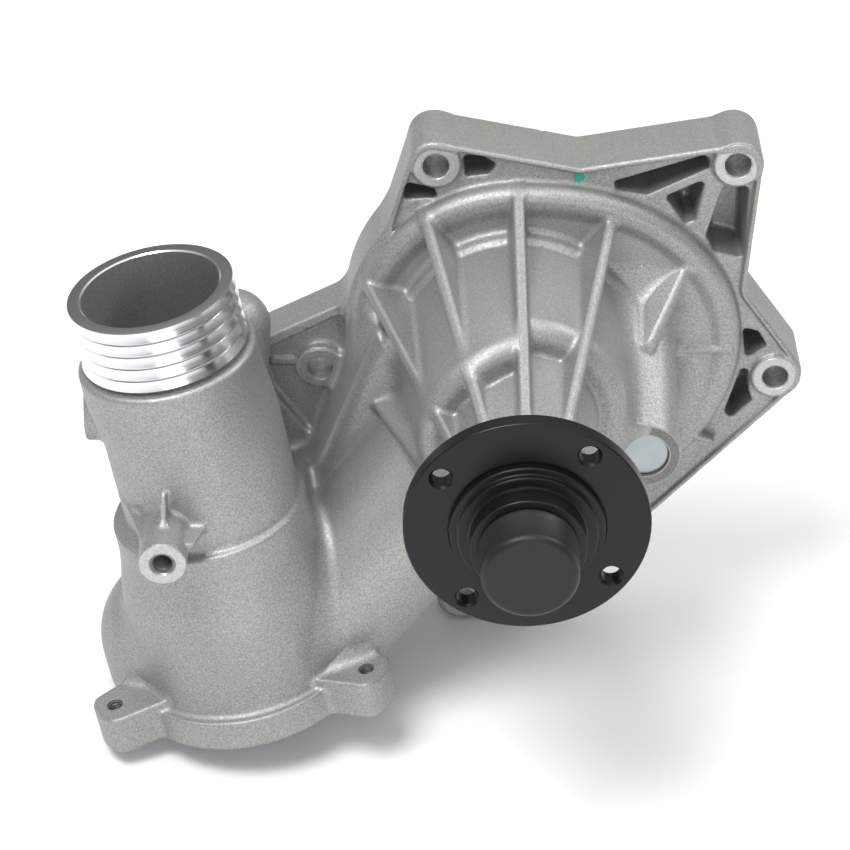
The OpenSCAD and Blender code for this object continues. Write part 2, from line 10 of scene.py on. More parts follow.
import bmesh
import bpy
import numpy as np
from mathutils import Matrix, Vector


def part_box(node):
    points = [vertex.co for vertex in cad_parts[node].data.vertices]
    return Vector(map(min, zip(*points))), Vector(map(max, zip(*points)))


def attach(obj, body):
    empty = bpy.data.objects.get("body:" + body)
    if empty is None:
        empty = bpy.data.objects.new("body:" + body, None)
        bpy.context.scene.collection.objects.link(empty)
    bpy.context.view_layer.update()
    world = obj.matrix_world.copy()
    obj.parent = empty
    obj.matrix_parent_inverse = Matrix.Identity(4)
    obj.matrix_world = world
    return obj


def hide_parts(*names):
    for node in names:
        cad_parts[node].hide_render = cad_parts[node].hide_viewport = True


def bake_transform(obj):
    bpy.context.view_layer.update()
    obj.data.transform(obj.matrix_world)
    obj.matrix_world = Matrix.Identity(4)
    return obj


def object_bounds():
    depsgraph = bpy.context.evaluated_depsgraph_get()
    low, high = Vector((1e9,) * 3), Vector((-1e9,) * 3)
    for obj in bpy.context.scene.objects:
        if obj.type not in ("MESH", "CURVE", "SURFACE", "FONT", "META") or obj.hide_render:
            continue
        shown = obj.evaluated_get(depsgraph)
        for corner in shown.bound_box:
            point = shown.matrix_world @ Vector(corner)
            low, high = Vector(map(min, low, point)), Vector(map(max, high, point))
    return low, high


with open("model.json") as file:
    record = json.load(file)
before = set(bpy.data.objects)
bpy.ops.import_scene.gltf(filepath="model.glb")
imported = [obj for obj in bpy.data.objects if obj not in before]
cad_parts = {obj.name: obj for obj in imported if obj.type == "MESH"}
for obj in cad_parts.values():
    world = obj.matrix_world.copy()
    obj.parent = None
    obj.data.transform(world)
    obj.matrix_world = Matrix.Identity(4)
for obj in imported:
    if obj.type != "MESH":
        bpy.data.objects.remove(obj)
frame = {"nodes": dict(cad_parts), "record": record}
cad_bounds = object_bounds()

MM = 0.001

# ---- driving dimensions, from the frame
MOUNTS = {m["name"]: m for m in frame["record"]["mounts"]}


def node_box(node):
    """The two corners of a CAD node, in millimetres."""
    low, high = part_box(node)
    return np.array(low) / MM, np.array(high) / MM


HOUSING_LOW, HOUSING_HIGH = node_box("housing")
HUB_LOW, HUB_HIGH = node_box("pulley_hub")
CAP_LOW, CAP_HIGH = node_box("nose_cap")
PLUG_LOW, PLUG_HIGH = node_box("weep_plug")
ENGINE_Y = HOUSING_HIGH[1]


def mount_plan(name):
    """X and Z of a mount, in millimetres."""
    p = MOUNTS[name]["pos_m"]
    return p[0] / MM, p[2] / MM


def bolt_pair(name):
    """The two holes of a mount whose holes lie side by side."""
    x, z = mount_plan(name)
    half = MOUNTS[name]["dims"]["spacing_x_mm"] / 2
    return (x - half, z), (x + half, z)


BOLT_TL, BOLT_TR = bolt_pair("top_bolts")
BOLT_L, BOLT_R = bolt_pair("side_bolts")
BOLT_LOW = mount_plan("low_bolt")
BOLT_HOLE_R = MOUNTS["low_bolt"]["dims"]["r_mm"]
BOSS_R = 8.5
BOSS_PROUD = 0.3
FLANGE_T = 24
SHELF_A = 22.3
LEFT_BOSS_A = 17

NECK_AXIS = MOUNTS["hose_neck"]["axis"]
NECK_LEAN = math.asin(-NECK_AXIS[0])
NECK_R = MOUNTS["hose_neck"]["dims"]["r_mm"]
NECK_LEN = MOUNTS["hose_neck"]["dims"]["length_mm"]
RIM = [c / MM + n * NECK_LEN / 2 for c, n in zip(MOUNTS["hose_neck"]["pos_m"], NECK_AXIS)]
RIM_X, RIM_Z = RIM[0], RIM[2]
NECK_A = ENGINE_Y - RIM[1]
NECK_BORE_R = 23.7
CHAMBER_LEN = 165
COVER_R = MOUNTS["thermostat_bolts"]["dims"]["pcd_mm"] / 2
COVER_HOLES = [(COVER_R * math.cos(t), COVER_R * math.sin(t)) for t in np.radians((30, 150, 270))]
COVER_HOLE_R = 2.9
COVER_HOLE_TOP = 145
SEAT_R = MOUNTS["thermostat_seat"]["dims"]["r_mm"]
ACC_X, ACC_Z = mount_plan("accessory_thread")
ACC_A = 122
ACC_TAP_R = MOUNTS["accessory_thread"]["dims"]["r_mm"]
THREAD_DEPTH = 0.75
PLUG_X, PLUG_Z = (PLUG_LOW[0] + PLUG_HIGH[0]) / 2, (PLUG_LOW[2] + PLUG_HIGH[2]) / 2
PLUG_R = (PLUG_HIGH[0] - PLUG_LOW[0]) / 2
PLUG_A = 74
NOSE_A = 121
FLOOR_A = 28
CREST_A = 29.2
RIB_HALF = 2.0


def row_points(x, z, a):
    """Points of the face frame (X, Z, distance ahead of the engine face) in the row frame, in metres."""
    return np.stack([x, ENGINE_Y - a, z], axis=-1) * MM


# ---- distance toolbox
def fillet(a, b, r):
    """Union of two solids with a concave fillet of radius r."""
    u = np.maximum(r - a, 0)
    v = np.maximum(r - b, 0)
    return np.maximum(np.minimum(a, b), r) - np.sqrt(u * u + v * v)


def joined(body, *parts):
    """A body with (solid, fillet radius) parts added one after another."""
    for part, r in parts:
        body = fillet(body, part, r)
    return body


def trim(a, b, r):
    """What is in both solids, with a convex edge of radius r."""
    return -fillet(-a, -b, r)


def cut(a, b, r):
    """The solid a without b, with an edge of radius r."""
    return -fillet(-a, b, r)


def disc(x, z, centre, r):
    """Distance to a circle in plan."""
    return np.hypot(x - centre[0], z - centre[1]) - r


def post(x, z, a, centre, r, top, edge=0.6, draft=0.0):
    """A boss along the shaft direction."""
    return trim(disc(x, z, centre, r + draft * (top - a)), a - top, edge)


def rod(p, start, end, r_start, r_end):
    """A round rod with round ends. p is a triple of coordinate arrays and the ends are points."""
    start, end = np.array(start, float), np.array(end, float)
    line = end - start
    w = [c - s for c, s in zip(p, start)]
    t = np.clip(sum(wi * li for wi, li in zip(w, line)) / (line @ line), 0, 1)
    gap = np.sqrt(sum((wi - t * li) ** 2 for wi, li in zip(w, line)))
    return gap - (r_start + (r_end - r_start) * t)


def smooth(t):
    t = np.clip(t, 0, 1)
    return t * t * (3 - 2 * t)


def rounded(rows, steps=5):
    """An outline from [x, z, corner radius] rows, with its corners as arcs."""
    points = []
    count = len(rows)
    for i, (bx, bz, r) in enumerate(rows):
        b = np.array([bx, bz], float)
        u = np.array(rows[i - 1][:2], float) - b
        v = np.array(rows[(i + 1) % count][:2], float) - b
        u, v = u / np.linalg.norm(u), v / np.linalg.norm(v)
        half = math.acos(max(-1, min(1, u @ v))) / 2
        mid = (u + v) / np.linalg.norm(u + v)
        centre = b + mid * (r / math.sin(half))
        p, q = b + u * (r / math.tan(half)) - centre, b + v * (r / math.tan(half)) - centre
        turn = math.atan2(p[0] * q[1] - p[1] * q[0], p @ q)
        for k in range(steps + 1):
            c, s = math.cos(turn * k / steps), math.sin(turn * k / steps)
            points.append(centre + np.array([p[0] * c - p[1] * s, p[0] * s + p[1] * c]))
    return np.array(points)


def outline_distance(px, pz, outline):
    """Signed distance from points to a closed outline, negative inside."""
    best = np.full(px.shape, 1e9)
    inside = np.zeros(px.shape, bool)
    for (ax, az), (bx, bz) in zip(outline, np.roll(outline, -1, axis=0)):
        ex, ez = bx - ax, bz - az
        wx, wz = px - ax, pz - az
        t = np.clip((wx * ex + wz * ez) / (ex * ex + ez * ez), 0, 1)
        best = np.minimum(best, (wx - ex * t) ** 2 + (wz - ez * t) ** 2)
        crosses = (az > pz) != (bz > pz)
        with np.errstate(divide="ignore", invalid="ignore"):
            inside ^= crosses & (px < ax + ex * (pz - az) / ez)
    return np.where(inside, -1, 1) * np.sqrt(best)


class Plan:
    """The distance to one or more outlines in plan, kept in a fine table and read between its points."""

    def __init__(self, outlines, pitch=0.5, margin=14):
        every = np.concatenate(outlines)
        self.low = every.min(0) - margin
        self.pitch = pitch
        self.shape = np.ceil((every.max(0) + margin - self.low) / pitch).astype(int) + 2
        gx, gz = np.meshgrid(
            self.low[0] + pitch * np.arange(self.shape[0]),
            self.low[1] + pitch * np.arange(self.shape[1]), indexing="ij")
        self.table = np.minimum.reduce([outline_distance(gx, gz, o) for o in outlines])
        self.table = self.table.astype(np.float32).ravel()

    def __call__(self, x, z):
        u, v = (x - self.low[0]) / self.pitch, (z - self.low[1]) / self.pitch
        cu, cv = np.clip(u, 0, self.shape[0] - 1.01), np.clip(v, 0, self.shape[1] - 1.01)
        iu, iv = cu.astype(np.int32), cv.astype(np.int32)
        fu, fv = cu - iu, cv - iv
        k = iu * self.shape[1] + iv
        t = self.table
        near = t[k] * (1 - fv) + t[k + 1] * fv
        far = t[k + self.shape[1]] * (1 - fv) + t[k + self.shape[1] + 1] * fv
        return near * (1 - fu) + far * fu + np.hypot(u - cu, v - cv) * self.pitch


# ---- plan outlines of the casting
STAR = Plan([rounded([
    (-35, 75.4, 8), (21.4, 63.8, 4), (84.8, 74.5, 8.5), (81, 14, 7), (103.5, -17.5, 7),
    (102.6, -24.8, 6), (8.7, -128.6, 9), (-27, -128.6, 8), (-29, -50, 6), (-44, -20, 8), (-46, 38, 8)])])
BRACKET = Plan([rounded([(-94, -10.5, 2), (-46, 14, 3), (-36, -45, 3), (-58, -84, 4), (-104, -60, 3)])])
BRACKET_RECESS = Plan([rounded([
    (-92, -14.5, 1.5), (-50, 8, 1.5), (-42, -20, 6), (-58, -52, 3), (-74, -50, 3), (-88, -30, 3)])])
POCKETS = Plan([rounded(rows) for rows in (
    [(-19.5, 69, 2), (-12, 68, 2), (-7, 65, 1.5), (-10, 61, 1.5), (-18, 60, 1.5)],
    [(-38.5, 58, 1.5), (-40, 51, 2), (-27, 52, 1.5), (-29, 56, 1)],
    [(33, 58, 1.5), (66, 69, 2.5), (66, 63, 1.5), (45, 52.5, 1.5), (34, 54.5, 1.5)],
    [(51, 52, 1.5), (65, 59, 1.5), (62, 42.5, 1), (58.5, 41, 1)],
    [(71, 56, 1.5), (80, 56, 2), (80, 27, 2), (69, 30, 2), (66, 36.5, 1.5)],
    [(81, -1, 1.5), (87, -3, 1.5), (90.5, -9, 1.5), (84, -14, 1.5), (82.5, -12, 1)],
    [(82, -17, 1.5), (84.5, -20, 1), (85, -28, 1.5), (86.5, -32, 1.5), (79, -40, 1.5), (76.5, -37, 1.5)])])


def volute_outline():
    """The volute, whose radius grows on the right and falls back at the outlet below."""
    angles = np.arange(0, 360, 3.0)
    grow = smooth(angles / 105) - smooth((angles - 130) / 45)
    r = 58 + 23 * grow
    t = np.radians(angles)
    return np.stack([r * np.sin(t), r * np.cos(t)], axis=-1)


VOLUTE = Plan([volute_outline()])
ARM_FOOT = Plan([rounded([
    (-49.5, 12, 4), (-76.5, -59, 6), (-86, -96, 6), (-60, -98, 6), (-14, -40, 6), (-14, -8, 6)])])


# ---- the parts of the casting
def star_flange(x, z, a):
    """The star-shaped flange: a lip round a slightly sunk shelf, deep pockets and bolt bosses."""
    lip, pocket_a = 1.8, 4.5
    d = STAR(x, z)
    body = trim(d, a - FLANGE_T, 1.2)
    body = fillet(body, trim(np.hypot(x, z) - 60.3, a - FLANGE_T + 0.4, 2), 2.5)
    shelf = trim(d + lip, SHELF_A - a, 1.2)
    body = cut(body, shelf, 0.8)
    pocket = trim(POCKETS(x, z) + 0.045 * (FLANGE_T - a), pocket_a - a, 2)
    body = cut(body, pocket, 0.9)
    for centre in (BOLT_TL, BOLT_TR, BOLT_R, BOLT_LOW):
        body = fillet(body, post(x, z, a, centre, BOSS_R, FLANGE_T + BOSS_PROUD, draft=0.01), 1.5)
    return body


def volute(x, z, a):
    """The volute's flat ring with its round outer edge and a low crest, lower still on the right."""
    crest_w, crest_in, drop = 3.6, 5, 0.9
    d = VOLUTE(x, z)
    turn = np.arctan2(x, z)
    crest_a = CREST_A - drop * smooth((turn - 0.9) / 0.7) * smooth((3.1 - turn) / 0.5)
    rim = trim(np.abs(d + crest_in) - crest_w, a - crest_a, 3)
    return fillet(rim, trim(d, a - FLOOR_A, 4), 3)


def wall(x, z, a, foot, top, half=1.5, draft=0.04, past=0.0, lean=None):
    """A wall whose crest runs from foot to top, two (x, z, ahead) points. Lean slopes its left side out."""
    foot, top = np.array(foot, float), np.array(top, float)
    run = math.hypot(top[0] - foot[0], top[1] - foot[1])
    rise = top[2] - foot[2]
    dx, dz = (top[0] - foot[0]) / run, (top[1] - foot[1]) / run
    along = (x - foot[0]) * dx + (z - foot[1]) * dz
    across = (x - foot[0]) * dz - (z - foot[1]) * dx
    over = ((a - foot[2]) * run - along * rise) / math.hypot(run, rise)
    left = draft if lean is None else lean
    side = np.maximum(-across - half + draft * over, (across - half + left * over) / math.hypot(1, left))
    body = trim(side, over, half * 0.7)
    body = trim(body, np.maximum(along - run - past, -1 - along), 1)
    return trim(body, a - top[2], 1)


def rib(x, z, a, angle, foot=(57, 29.2), top=(23.2, 120.8)):
    """A rib at a clockwise angle from up, between two (radius, ahead) points of its crest."""
    t = math.radians(angle)
    ends = [(r * math.sin(t), r * math.cos(t), ahead) for r, ahead in (foot, top)]
    return wall(x, z, a, ends[0], ends[1], RIB_HALF, 0.045, past=10)


def nose(x, z, a):
    """The bearing nose in two stages. The first stage's shoulder is further ahead on the left."""
    r = np.hypot(x, z)
    turn = np.degrees(np.arctan2(x, z))
    left = smooth((1.5 - x) / 3)
    shoulder = 82.5 + (10 + 4.5 * smooth(-turn / 34)) * left
    side = r - 39.9 + 0.073 * (a - 32)
    wide = trim(side, a - shoulder, 6.5)
    ledge = trim(r - 42.2 + 0.25 * (a - 28), a - 32.7, 1.3)
    wide = fillet(wide, ledge, 2)
    narrow = trim(r - 26 + 0.09 * (a - 84), a - NOSE_A, 1)
    return fillet(wide, narrow, 1.5)


def nose_ribs(x, z, a):
    """The long ribs of the nose and the short ones beside them."""
    body = rib(x, z, a, 0)
    for angle in (-34.5, 35.5, -69):
        body = np.minimum(body, rib(x, z, a, angle))
    body = np.minimum(body, rib(x, z, a, -112, (59.5, 29.2), (26.6, 120.8)))
    return np.minimum(body, wall(x, z, a, (60.3, 27.8, 29), (46.8, 9, 50), past=3, lean=0.62))


def plug_column(x, z, a):
    """The capped boss beside the hub, and the rounded web that slopes up from it to the nose."""
    boss_r, foot_r, narrowing = 12.4, 13.6, 1.6
    foot_x, foot_z, foot_a, inner_x = 42.6, 6, 27, 14
    boss = post(x, z, a, (PLUG_X, PLUG_Z), boss_r, PLUG_A, 0.5, 0.045)
    t = np.clip((a - foot_a) / (PLUG_A - 1 - foot_a), 0, 1)
    end_x = foot_x + (PLUG_X - foot_x) * t
    rise_z = foot_z + (PLUG_Z + 0.3 - foot_z) * t
    web = np.hypot(x - np.clip(x, inner_x, end_x), z - rise_z) - foot_r + narrowing * t
    return fillet(boss, trim(web, a - PLUG_A + 0.5, 0.8), 0.8)


def neck_frame(x, z, a):
    """Coordinates of the neck frame: u across, v toward the pulley side and s below the rim."""
    dx, dz = x - RIM_X, z - RIM_Z
    c, s = math.cos(NECK_LEAN), math.sin(NECK_LEAN)
    return dx * c + dz * s, a - NECK_A, dx * s - dz * c


def neck_body(u, v, s):
    """The cast body below the turned hose neck, down to the shoulder ridge."""
    top, lean, radius = 24.8, 2.2, 30.6
    side = np.hypot(u - lean * smooth((s - 32) / 25), v) - radius
    return trim(trim(side, top - s, 2), s - 100, 2)


def chamber(u, v, s):
    """The thermostat chamber: a bell below a round shoulder, with a wing straight back to the bracket."""
    shoulder, bell_r, belly, flare = 88.4, 34.2, 3.2, 3
    grow = belly * smooth((s - 95) / 28) + flare * smooth((s - 143) / 18) ** 2
    side = np.hypot(u - 0.8 * (1 - grow / (belly + flare)), v) - (bell_r + grow)
    bell = trim(trim(side, shoulder - s, 1.6), s - CHAMBER_LEN, 0.8)
    wing_u, draft, fall = 34.6, 0.095, 0.375
    wing_in, wing_back, wing_foot = 10, 60, 130
    back = np.minimum(v, 0)
    wing = trim(u - wing_u - draft * back, shoulder - fall * back - s, 1.6)
    ends = np.maximum(np.maximum(wing_in - u, v - 0.5), np.maximum(-wing_back - v, s - wing_foot))
    return np.minimum(bell, trim(wing, ends, 1))


def cover_flange(u, v, s):
    """The flange at the foot of the chamber, with three taller ears."""
    ring_top, ear_top, ring_r, ear_r, root_r, ear_end = 153.5, 150.4, 42.5, 9.3, 16, 7
    radius = np.hypot(u, v)
    body = trim(radius - ring_r, ring_top - s, 1.2)
    for eu, ev in COVER_HOLES:
        along = np.clip((u * eu + v * ev) / COVER_R ** 2, 0, 1)
        gap = np.hypot(u - along * eu, v - along * ev)
        ear = trim(gap - (root_r + (ear_r - root_r) * along), ear_top - s, 1.2)
        ear = trim(ear, radius - COVER_R - ear_end, 3)
        body = fillet(body, ear, 2)
    return trim(body, s - CHAMBER_LEN, 0.8)


def thermostat_side(x, z, a):
    """The neck body, the chamber and its flange, run together."""
    u, v, s = neck_frame(x, z, a)
    lobe = rod((u, v, s), (-23, -12, 150), (-23, -12, 160), 29.5, 29.5)
    pad_x, pad_z, pad_a, pad_r = -148.5, -5, 68, 10.5
    pad = trim(np.hypot(z - pad_z, a - pad_a) - pad_r, np.maximum(pad_x - x, x + 125), 1.2)
    hump = rod((x, z, a), (-99, 9, 36), (-104, -30, 46), 13, 15)
    return joined(
        neck_body(u, v, s), (chamber(u, v, s), 2.2), (cover_flange(u, v, s), 2),
        (trim(lobe, s - CHAMBER_LEN, 0.8), 5), (pad, 3), (hump, 7))


def accessory_boss(x, z, a):
    """The threaded boss in front of the neck body, with a thin fin above it and a gusset on each side."""
    root_a = 76
    boss = trim(post(x, z, a, (ACC_X, ACC_Z), 8.1, ACC_A, 0.4, 0.02), root_a - a, 1)
    off, up = np.abs(x - ACC_X), z - ACC_Z
    crest = up - 4.2 - np.minimum(1.36 * (ACC_A - 7 - a), 11.3 + 0.39 * (ACC_A - 15.3 - a))
    fin = trim(trim(off - 0.95, crest, 0.9), np.maximum(a - ACC_A + 6, -up), 0.8)
    gusset_z, gusset_t = 2.6, 1.0
    spread = np.where(x > ACC_X, off - 0.8, off + 3) - 9.4 - 0.34 * (ACC_A - 7 - a)
    gusset = trim(trim(np.abs(up - gusset_z) - gusset_t, spread, 0.7), a - ACC_A + 6, 1)
    ends = 85 - a
    return joined(boss, (trim(fin, ends, 1), 2.2), (trim(gusset, ends, 1), 1.5))


def bracket(x, z, a):
    """The bracket that carries the left bolt, with a walled recess round its boss."""
    d = BRACKET(x, z)
    top, floor = 17, 13.2
    body = trim(d, a - top, 1)
    recess = trim(BRACKET_RECESS(x, z) + 0.1 * (top - a), floor - a, 1.5)
    body = cut(body, recess, 0.8)
    body = fillet(body, post(x, z, a, BOLT_L, BOSS_R, LEFT_BOSS_A, draft=0.02), 2)
    bar = trim(np.abs(z - BOLT_L[1] - 1) - 1.4, np.abs(x - BOLT_L[0]) - 18, 1)
    return fillet(body, trim(bar, a - floor - 1, 0.6), 1)


def arm(x, z, a):
    """The arm from the suction chamber to the thermostat chamber, with its flank beside the bracket."""
    tube = rod((x, z, a), (-7.5, -20, 46), (-83, -108, 72), 29, 27.5)
    flank = trim(ARM_FOOT(x, z) + 0.05 * (a - 16), a - 44, 6)
    return fillet(tube, flank, 6)


def casting(x, z, a):
    """The casting's outer skin."""
    bar = trim(np.abs(z + 6.6) - 1.1, np.abs(x - 66) - 11.5, 0.8)
    fin = wall(x, z, a, (72, -46.5, FLOOR_A + 0.4), (60, -40.7, FLOOR_A + 1.6), 0.9)
    dome = joined(
        volute(x, z, a), (nose(x, z, a), 1.8), (plug_column(x, z, a), 11), (arm(x, z, a), 9),
        (nose_ribs(x, z, a), 2), (trim(bar, a - FLOOR_A - 1.6, 0.8), 1), (fin, 1))
    side = fillet(thermostat_side(x, z, a), accessory_boss(x, z, a), 2)
    body = joined(star_flange(x, z, a), (dome, 2), (bracket(x, z, a), 4), (side, 6))
    u, v, s = neck_frame(x, z, a)
    below = np.maximum(CHAMBER_LEN - s, np.hypot(u, v) - 75)
    return np.maximum(body, -below)


# Bores as (radius, start, end). Those on the shaft run by distance ahead, those on the neck by depth below
# the rim.
SHAFT_BORES = ((27, 10, 44), (18, 40, 55), (13, 50, 60), (19.05, 58, 130), (21.4, 114.5, 130))
NECK_BORES = ((NECK_BORE_R, -9, 96), (30.5, 95, 159), (24, 150, 170), (SEAT_R, 161, 172))
HOLE_EASE = 0.1
PLUG_HOLE_A = 62
ACC_HOLE_A = 100
GROOVE_IN, GROOVE_HALF, GROOVE_DEPTH = 3, 1.5, 2


def hollow(x, z, a):
    """Everything that is bored, drilled or cored out of the casting."""
    r = np.hypot(x, z)
    u, v, s = neck_frame(x, z, a)
    ru = np.hypot(u, v)
    turned_r, overlap = 29, 0.6
    turned = np.maximum(ru - turned_r, s - NECK_LEN + overlap)
    voids = [
        trim(VOLUTE(x, z) + 7, a - 20, 2),
        rod((x, z, a), (-14, -22, 44), (-83, -108, 72), 20.5, 20.5),
        np.maximum(turned, -30 - s),
        np.maximum(disc(x, z, (PLUG_X, PLUG_Z), PLUG_R), PLUG_HOLE_A - a),
        np.maximum(disc(x, z, (ACC_X, ACC_Z), ACC_TAP_R + 0.9), ACC_HOLE_A - a),
        np.maximum(np.abs(VOLUTE(x, z) + GROOVE_IN) - GROOVE_HALF, a - GROOVE_DEPTH)]
    for radius, back, front in SHAFT_BORES:
        voids.append(np.maximum(r - radius, np.maximum(back - a, a - front)))
    for radius, start, end in NECK_BORES:
        voids.append(np.maximum(ru - radius, np.maximum(start - s, s - end)))
    for eu, ev in COVER_HOLES:
        voids.append(np.maximum(np.hypot(u - eu, v - ev) - COVER_HOLE_R, COVER_HOLE_TOP - s))
    for centre in (BOLT_TL, BOLT_TR, BOLT_R, BOLT_L, BOLT_LOW):
        voids.append(disc(x, z, centre, BOLT_HOLE_R + HOLE_EASE))
    return np.minimum.reduce(voids)


def housing_distance(x, z, a):
    """The finished casting, with its engine face cut flat."""
    solid = np.maximum(casting(x, z, a), -hollow(x, z, a))
    return np.maximum(solid, -a)


# ---- meshing by dual contouring
WORKERS = 4
CHUNK = 60000


def evaluate(points):
    """The casting's distance at many points, shared out over the processors."""
    parts = [points[i:i + CHUNK] for i in range(0, len(points), CHUNK)]
    with ThreadPoolExecutor(WORKERS) as pool:
        done = list(pool.map(lambda p: housing_distance(p[:, 0], p[:, 1], p[:, 2]), parts))
    return np.concatenate(done).astype(np.float32)


def gradient(points, step=0.04):
    """The outward direction of the skin at many points."""
    out = np.zeros_like(points)
    for signs in ((1, -1, -1), (-1, -1, 1), (-1, 1, -1), (1, 1, 1)):
        k = np.array(signs, np.float32)
        out += evaluate(points + k * step)[:, None] * k
    return out / np.maximum(np.linalg.norm(out, axis=1, keepdims=True), 1e-9)


def sample(low, high, cell):
    """Distances on a grid: exact near the skin, and a block's own value elsewhere."""
    block = 4
    blocks = np.ceil((high - low) / (cell * block)).astype(int)
    axes = [low[i] + cell * block * (np.arange(blocks[i]) + 0.5) - cell / 2 for i in range(3)]
    centres = np.stack(np.meshgrid(*axes, indexing="ij"), -1).reshape(-1, 3).astype(np.float32)
    coarse = evaluate(centres)
    values = coarse.reshape(blocks)
    for axis in range(3):
        values = np.repeat(values, block, axis=axis)
    near = np.abs(coarse) < cell * block * 0.87 * 1.35 + 0.6
    keep = np.argwhere(near.reshape(blocks)) * block
    offsets = np.stack(np.meshgrid(*[np.arange(block)] * 3, indexing="ij"), -1).reshape(-1, 3)
    index = (keep[:, None, :] + offsets[None, :, :]).reshape(-1, 3)
    points = (low + index * cell).astype(np.float32)
    values[index[:, 0], index[:, 1], index[:, 2]] = evaluate(points)
    return values


def crossings(values, low, cell, axis):
    """The grid edges along one axis that the skin crosses: their cells, points and directions."""
    ahead = [slice(None)] * 3
    back = [slice(None)] * 3
    ahead[axis], back[axis] = slice(1, None), slice(None, -1)
    inside = values < 0
    index = np.argwhere(inside[tuple(ahead)] != inside[tuple(back)])
    others = [i for i in range(3) if i != axis]
    index = index[(index[:, others] > 0).all(axis=1)]
    step = np.zeros(3, int)
    step[axis] = 1
    f0 = values[tuple(index.T)].astype(float)
    f1 = values[tuple((index + step).T)].astype(float)
    start = low + index * cell
    t0, t1 = np.zeros(len(f0)), np.ones(len(f0))
    for _ in range(2):
        t = t0 + (t1 - t0) * np.clip(f0 / (f0 - f1), 0.02, 0.98)
        f = evaluate((start + t[:, None] * step * cell).astype(np.float32))
        same = (f < 0) == (f0 < 0)
        t0, f0 = np.where(same, t, t0), np.where(same, f, f0)
        t1, f1 = np.where(same, t1, t), np.where(same, f1, f)
    t = t0 + (t1 - t0) * np.clip(f0 / (f0 - f1), 0, 1)
    points = (start + t[:, None] * step * cell).astype(np.float32)
    return index, points, inside[tuple(index.T)], others


def contour(low, high, cell):
    """A mesh of the casting whose sharp edges stay sharp."""
    values = sample(low, high, cell)
    shape = np.array(values.shape)
    number = np.full(values.size, -1, np.int64)
    edges = [crossings(values, low, cell, axis) for axis in range(3)]
    quads, sums = [], []
    for axis, (index, points, starts_inside, others) in enumerate(edges):
        normals = gradient(points).astype(float)
        corners = []
        for da, db in ((0, 0), (1, 0), (1, 1), (0, 1)):
            cell_index = index.copy()
            cell_index[:, others[0]] -= da
            cell_index[:, others[1]] -= db
            corners.append(np.ravel_multi_index(cell_index.T, shape))
        ring = np.stack(corners, axis=1)
        kept = starts_inside if axis != 1 else ~starts_inside
        quads.append(np.where(kept[:, None], ring, ring[:, ::-1]))
        sums.append((ring, points.astype(float), normals))
    cells = np.unique(np.concatenate([q.ravel() for q in quads]))
    number[cells] = np.arange(len(cells))
    origin = low + np.stack(np.unravel_index(cells, shape), axis=-1) * cell
    count = np.zeros(len(cells))
    mass = np.zeros((len(cells), 3))
    ata = np.zeros((len(cells), 3, 3))
    atb = np.zeros((len(cells), 3))
    for corners, points, normals in sums:
        plane = (points * normals).sum(1)
        for k in range(4):
            at = number[corners[:, k]]
            count += np.bincount(at, minlength=len(cells))
            for i in range(3):
                mass[:, i] += np.bincount(at, points[:, i], len(cells))
                atb[:, i] += np.bincount(at, normals[:, i] * plane, len(cells))
                for j in range(3):
                    ata[:, i, j] += np.bincount(at, normals[:, i] * normals[:, j], len(cells))
    mass /= count[:, None]
    pull = 0.04
    solved = np.linalg.solve(ata + pull * np.eye(3), (atb + pull * mass)[..., None])[..., 0]
    solved = np.clip(solved, origin - 0.1 * cell, origin + 1.1 * cell)
    return solved, number[np.concatenate(quads)]


# ---- mesh helpers
def in_scene(name, data):
    """A new object in the scene for a mesh, light or camera."""
    obj = bpy.data.objects.new(name, data)
    bpy.context.scene.collection.objects.link(obj)
    return obj


def belong(obj, body="housing", node=None, finish=None):
    """Puts an object under the empty of its body, hides the CAD node it replaces, and gives it a finish."""
    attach(obj, body)
    if node:
        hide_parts(node)
    if finish:
        obj.data.materials.append(finish)


def read(items, key, width=1, kind=np.float32):
    """One attribute of a mesh's items, as an array."""
    values = np.empty(len(items) * width, kind)
    items.foreach_get(key, values)
    return values.reshape(-1, width) if width > 1 else values


def new_object(name, verts, faces):
    """A Blender object from vertex positions in metres and equal-sized faces."""
    faces = np.asarray(faces, np.int32)
    mesh = bpy.data.meshes.new(name)
    mesh.vertices.add(len(verts))
    mesh.vertices.foreach_set("co", np.asarray(verts, np.float32).ravel())
    mesh.loops.add(faces.size)
    mesh.loops.foreach_set("vertex_index", faces.ravel())
    mesh.polygons.add(len(faces))
    mesh.polygons.foreach_set("loop_start", np.arange(0, faces.size, faces.shape[1], dtype=np.int32))
    mesh.update(calc_edges=True)
    mesh.validate()
    return in_scene(name, mesh)


def apply_modifiers(obj):
    """Puts the result of an object's modifiers in its mesh."""
    evaluated = obj.evaluated_get(bpy.context.evaluated_depsgraph_get())
    mesh = bpy.data.meshes.new_from_object(evaluated)
    obj.modifiers.clear()
    obj.data = mesh


def shade(obj, angle):
    """Smooth shading, with edges sharper than the angle kept crisp."""
    obj.data.polygons.foreach_set("use_smooth", [True] * len(obj.data.polygons))
    obj.data.set_sharp_from_angle(angle=math.radians(angle))


def ring_faces(rings, sides, closed):
    """The faces between rings of corners. In a closed piece the last ring is joined to the first."""
    i, k = np.meshgrid(np.arange(rings if closed else rings - 1), np.arange(sides), indexing="ij")
    j, m = (i + 1) % rings, (k + 1) % sides
    return np.stack([i * sides + k, i * sides + m, j * sides + m, j * sides + k], -1).reshape(-1, 4)


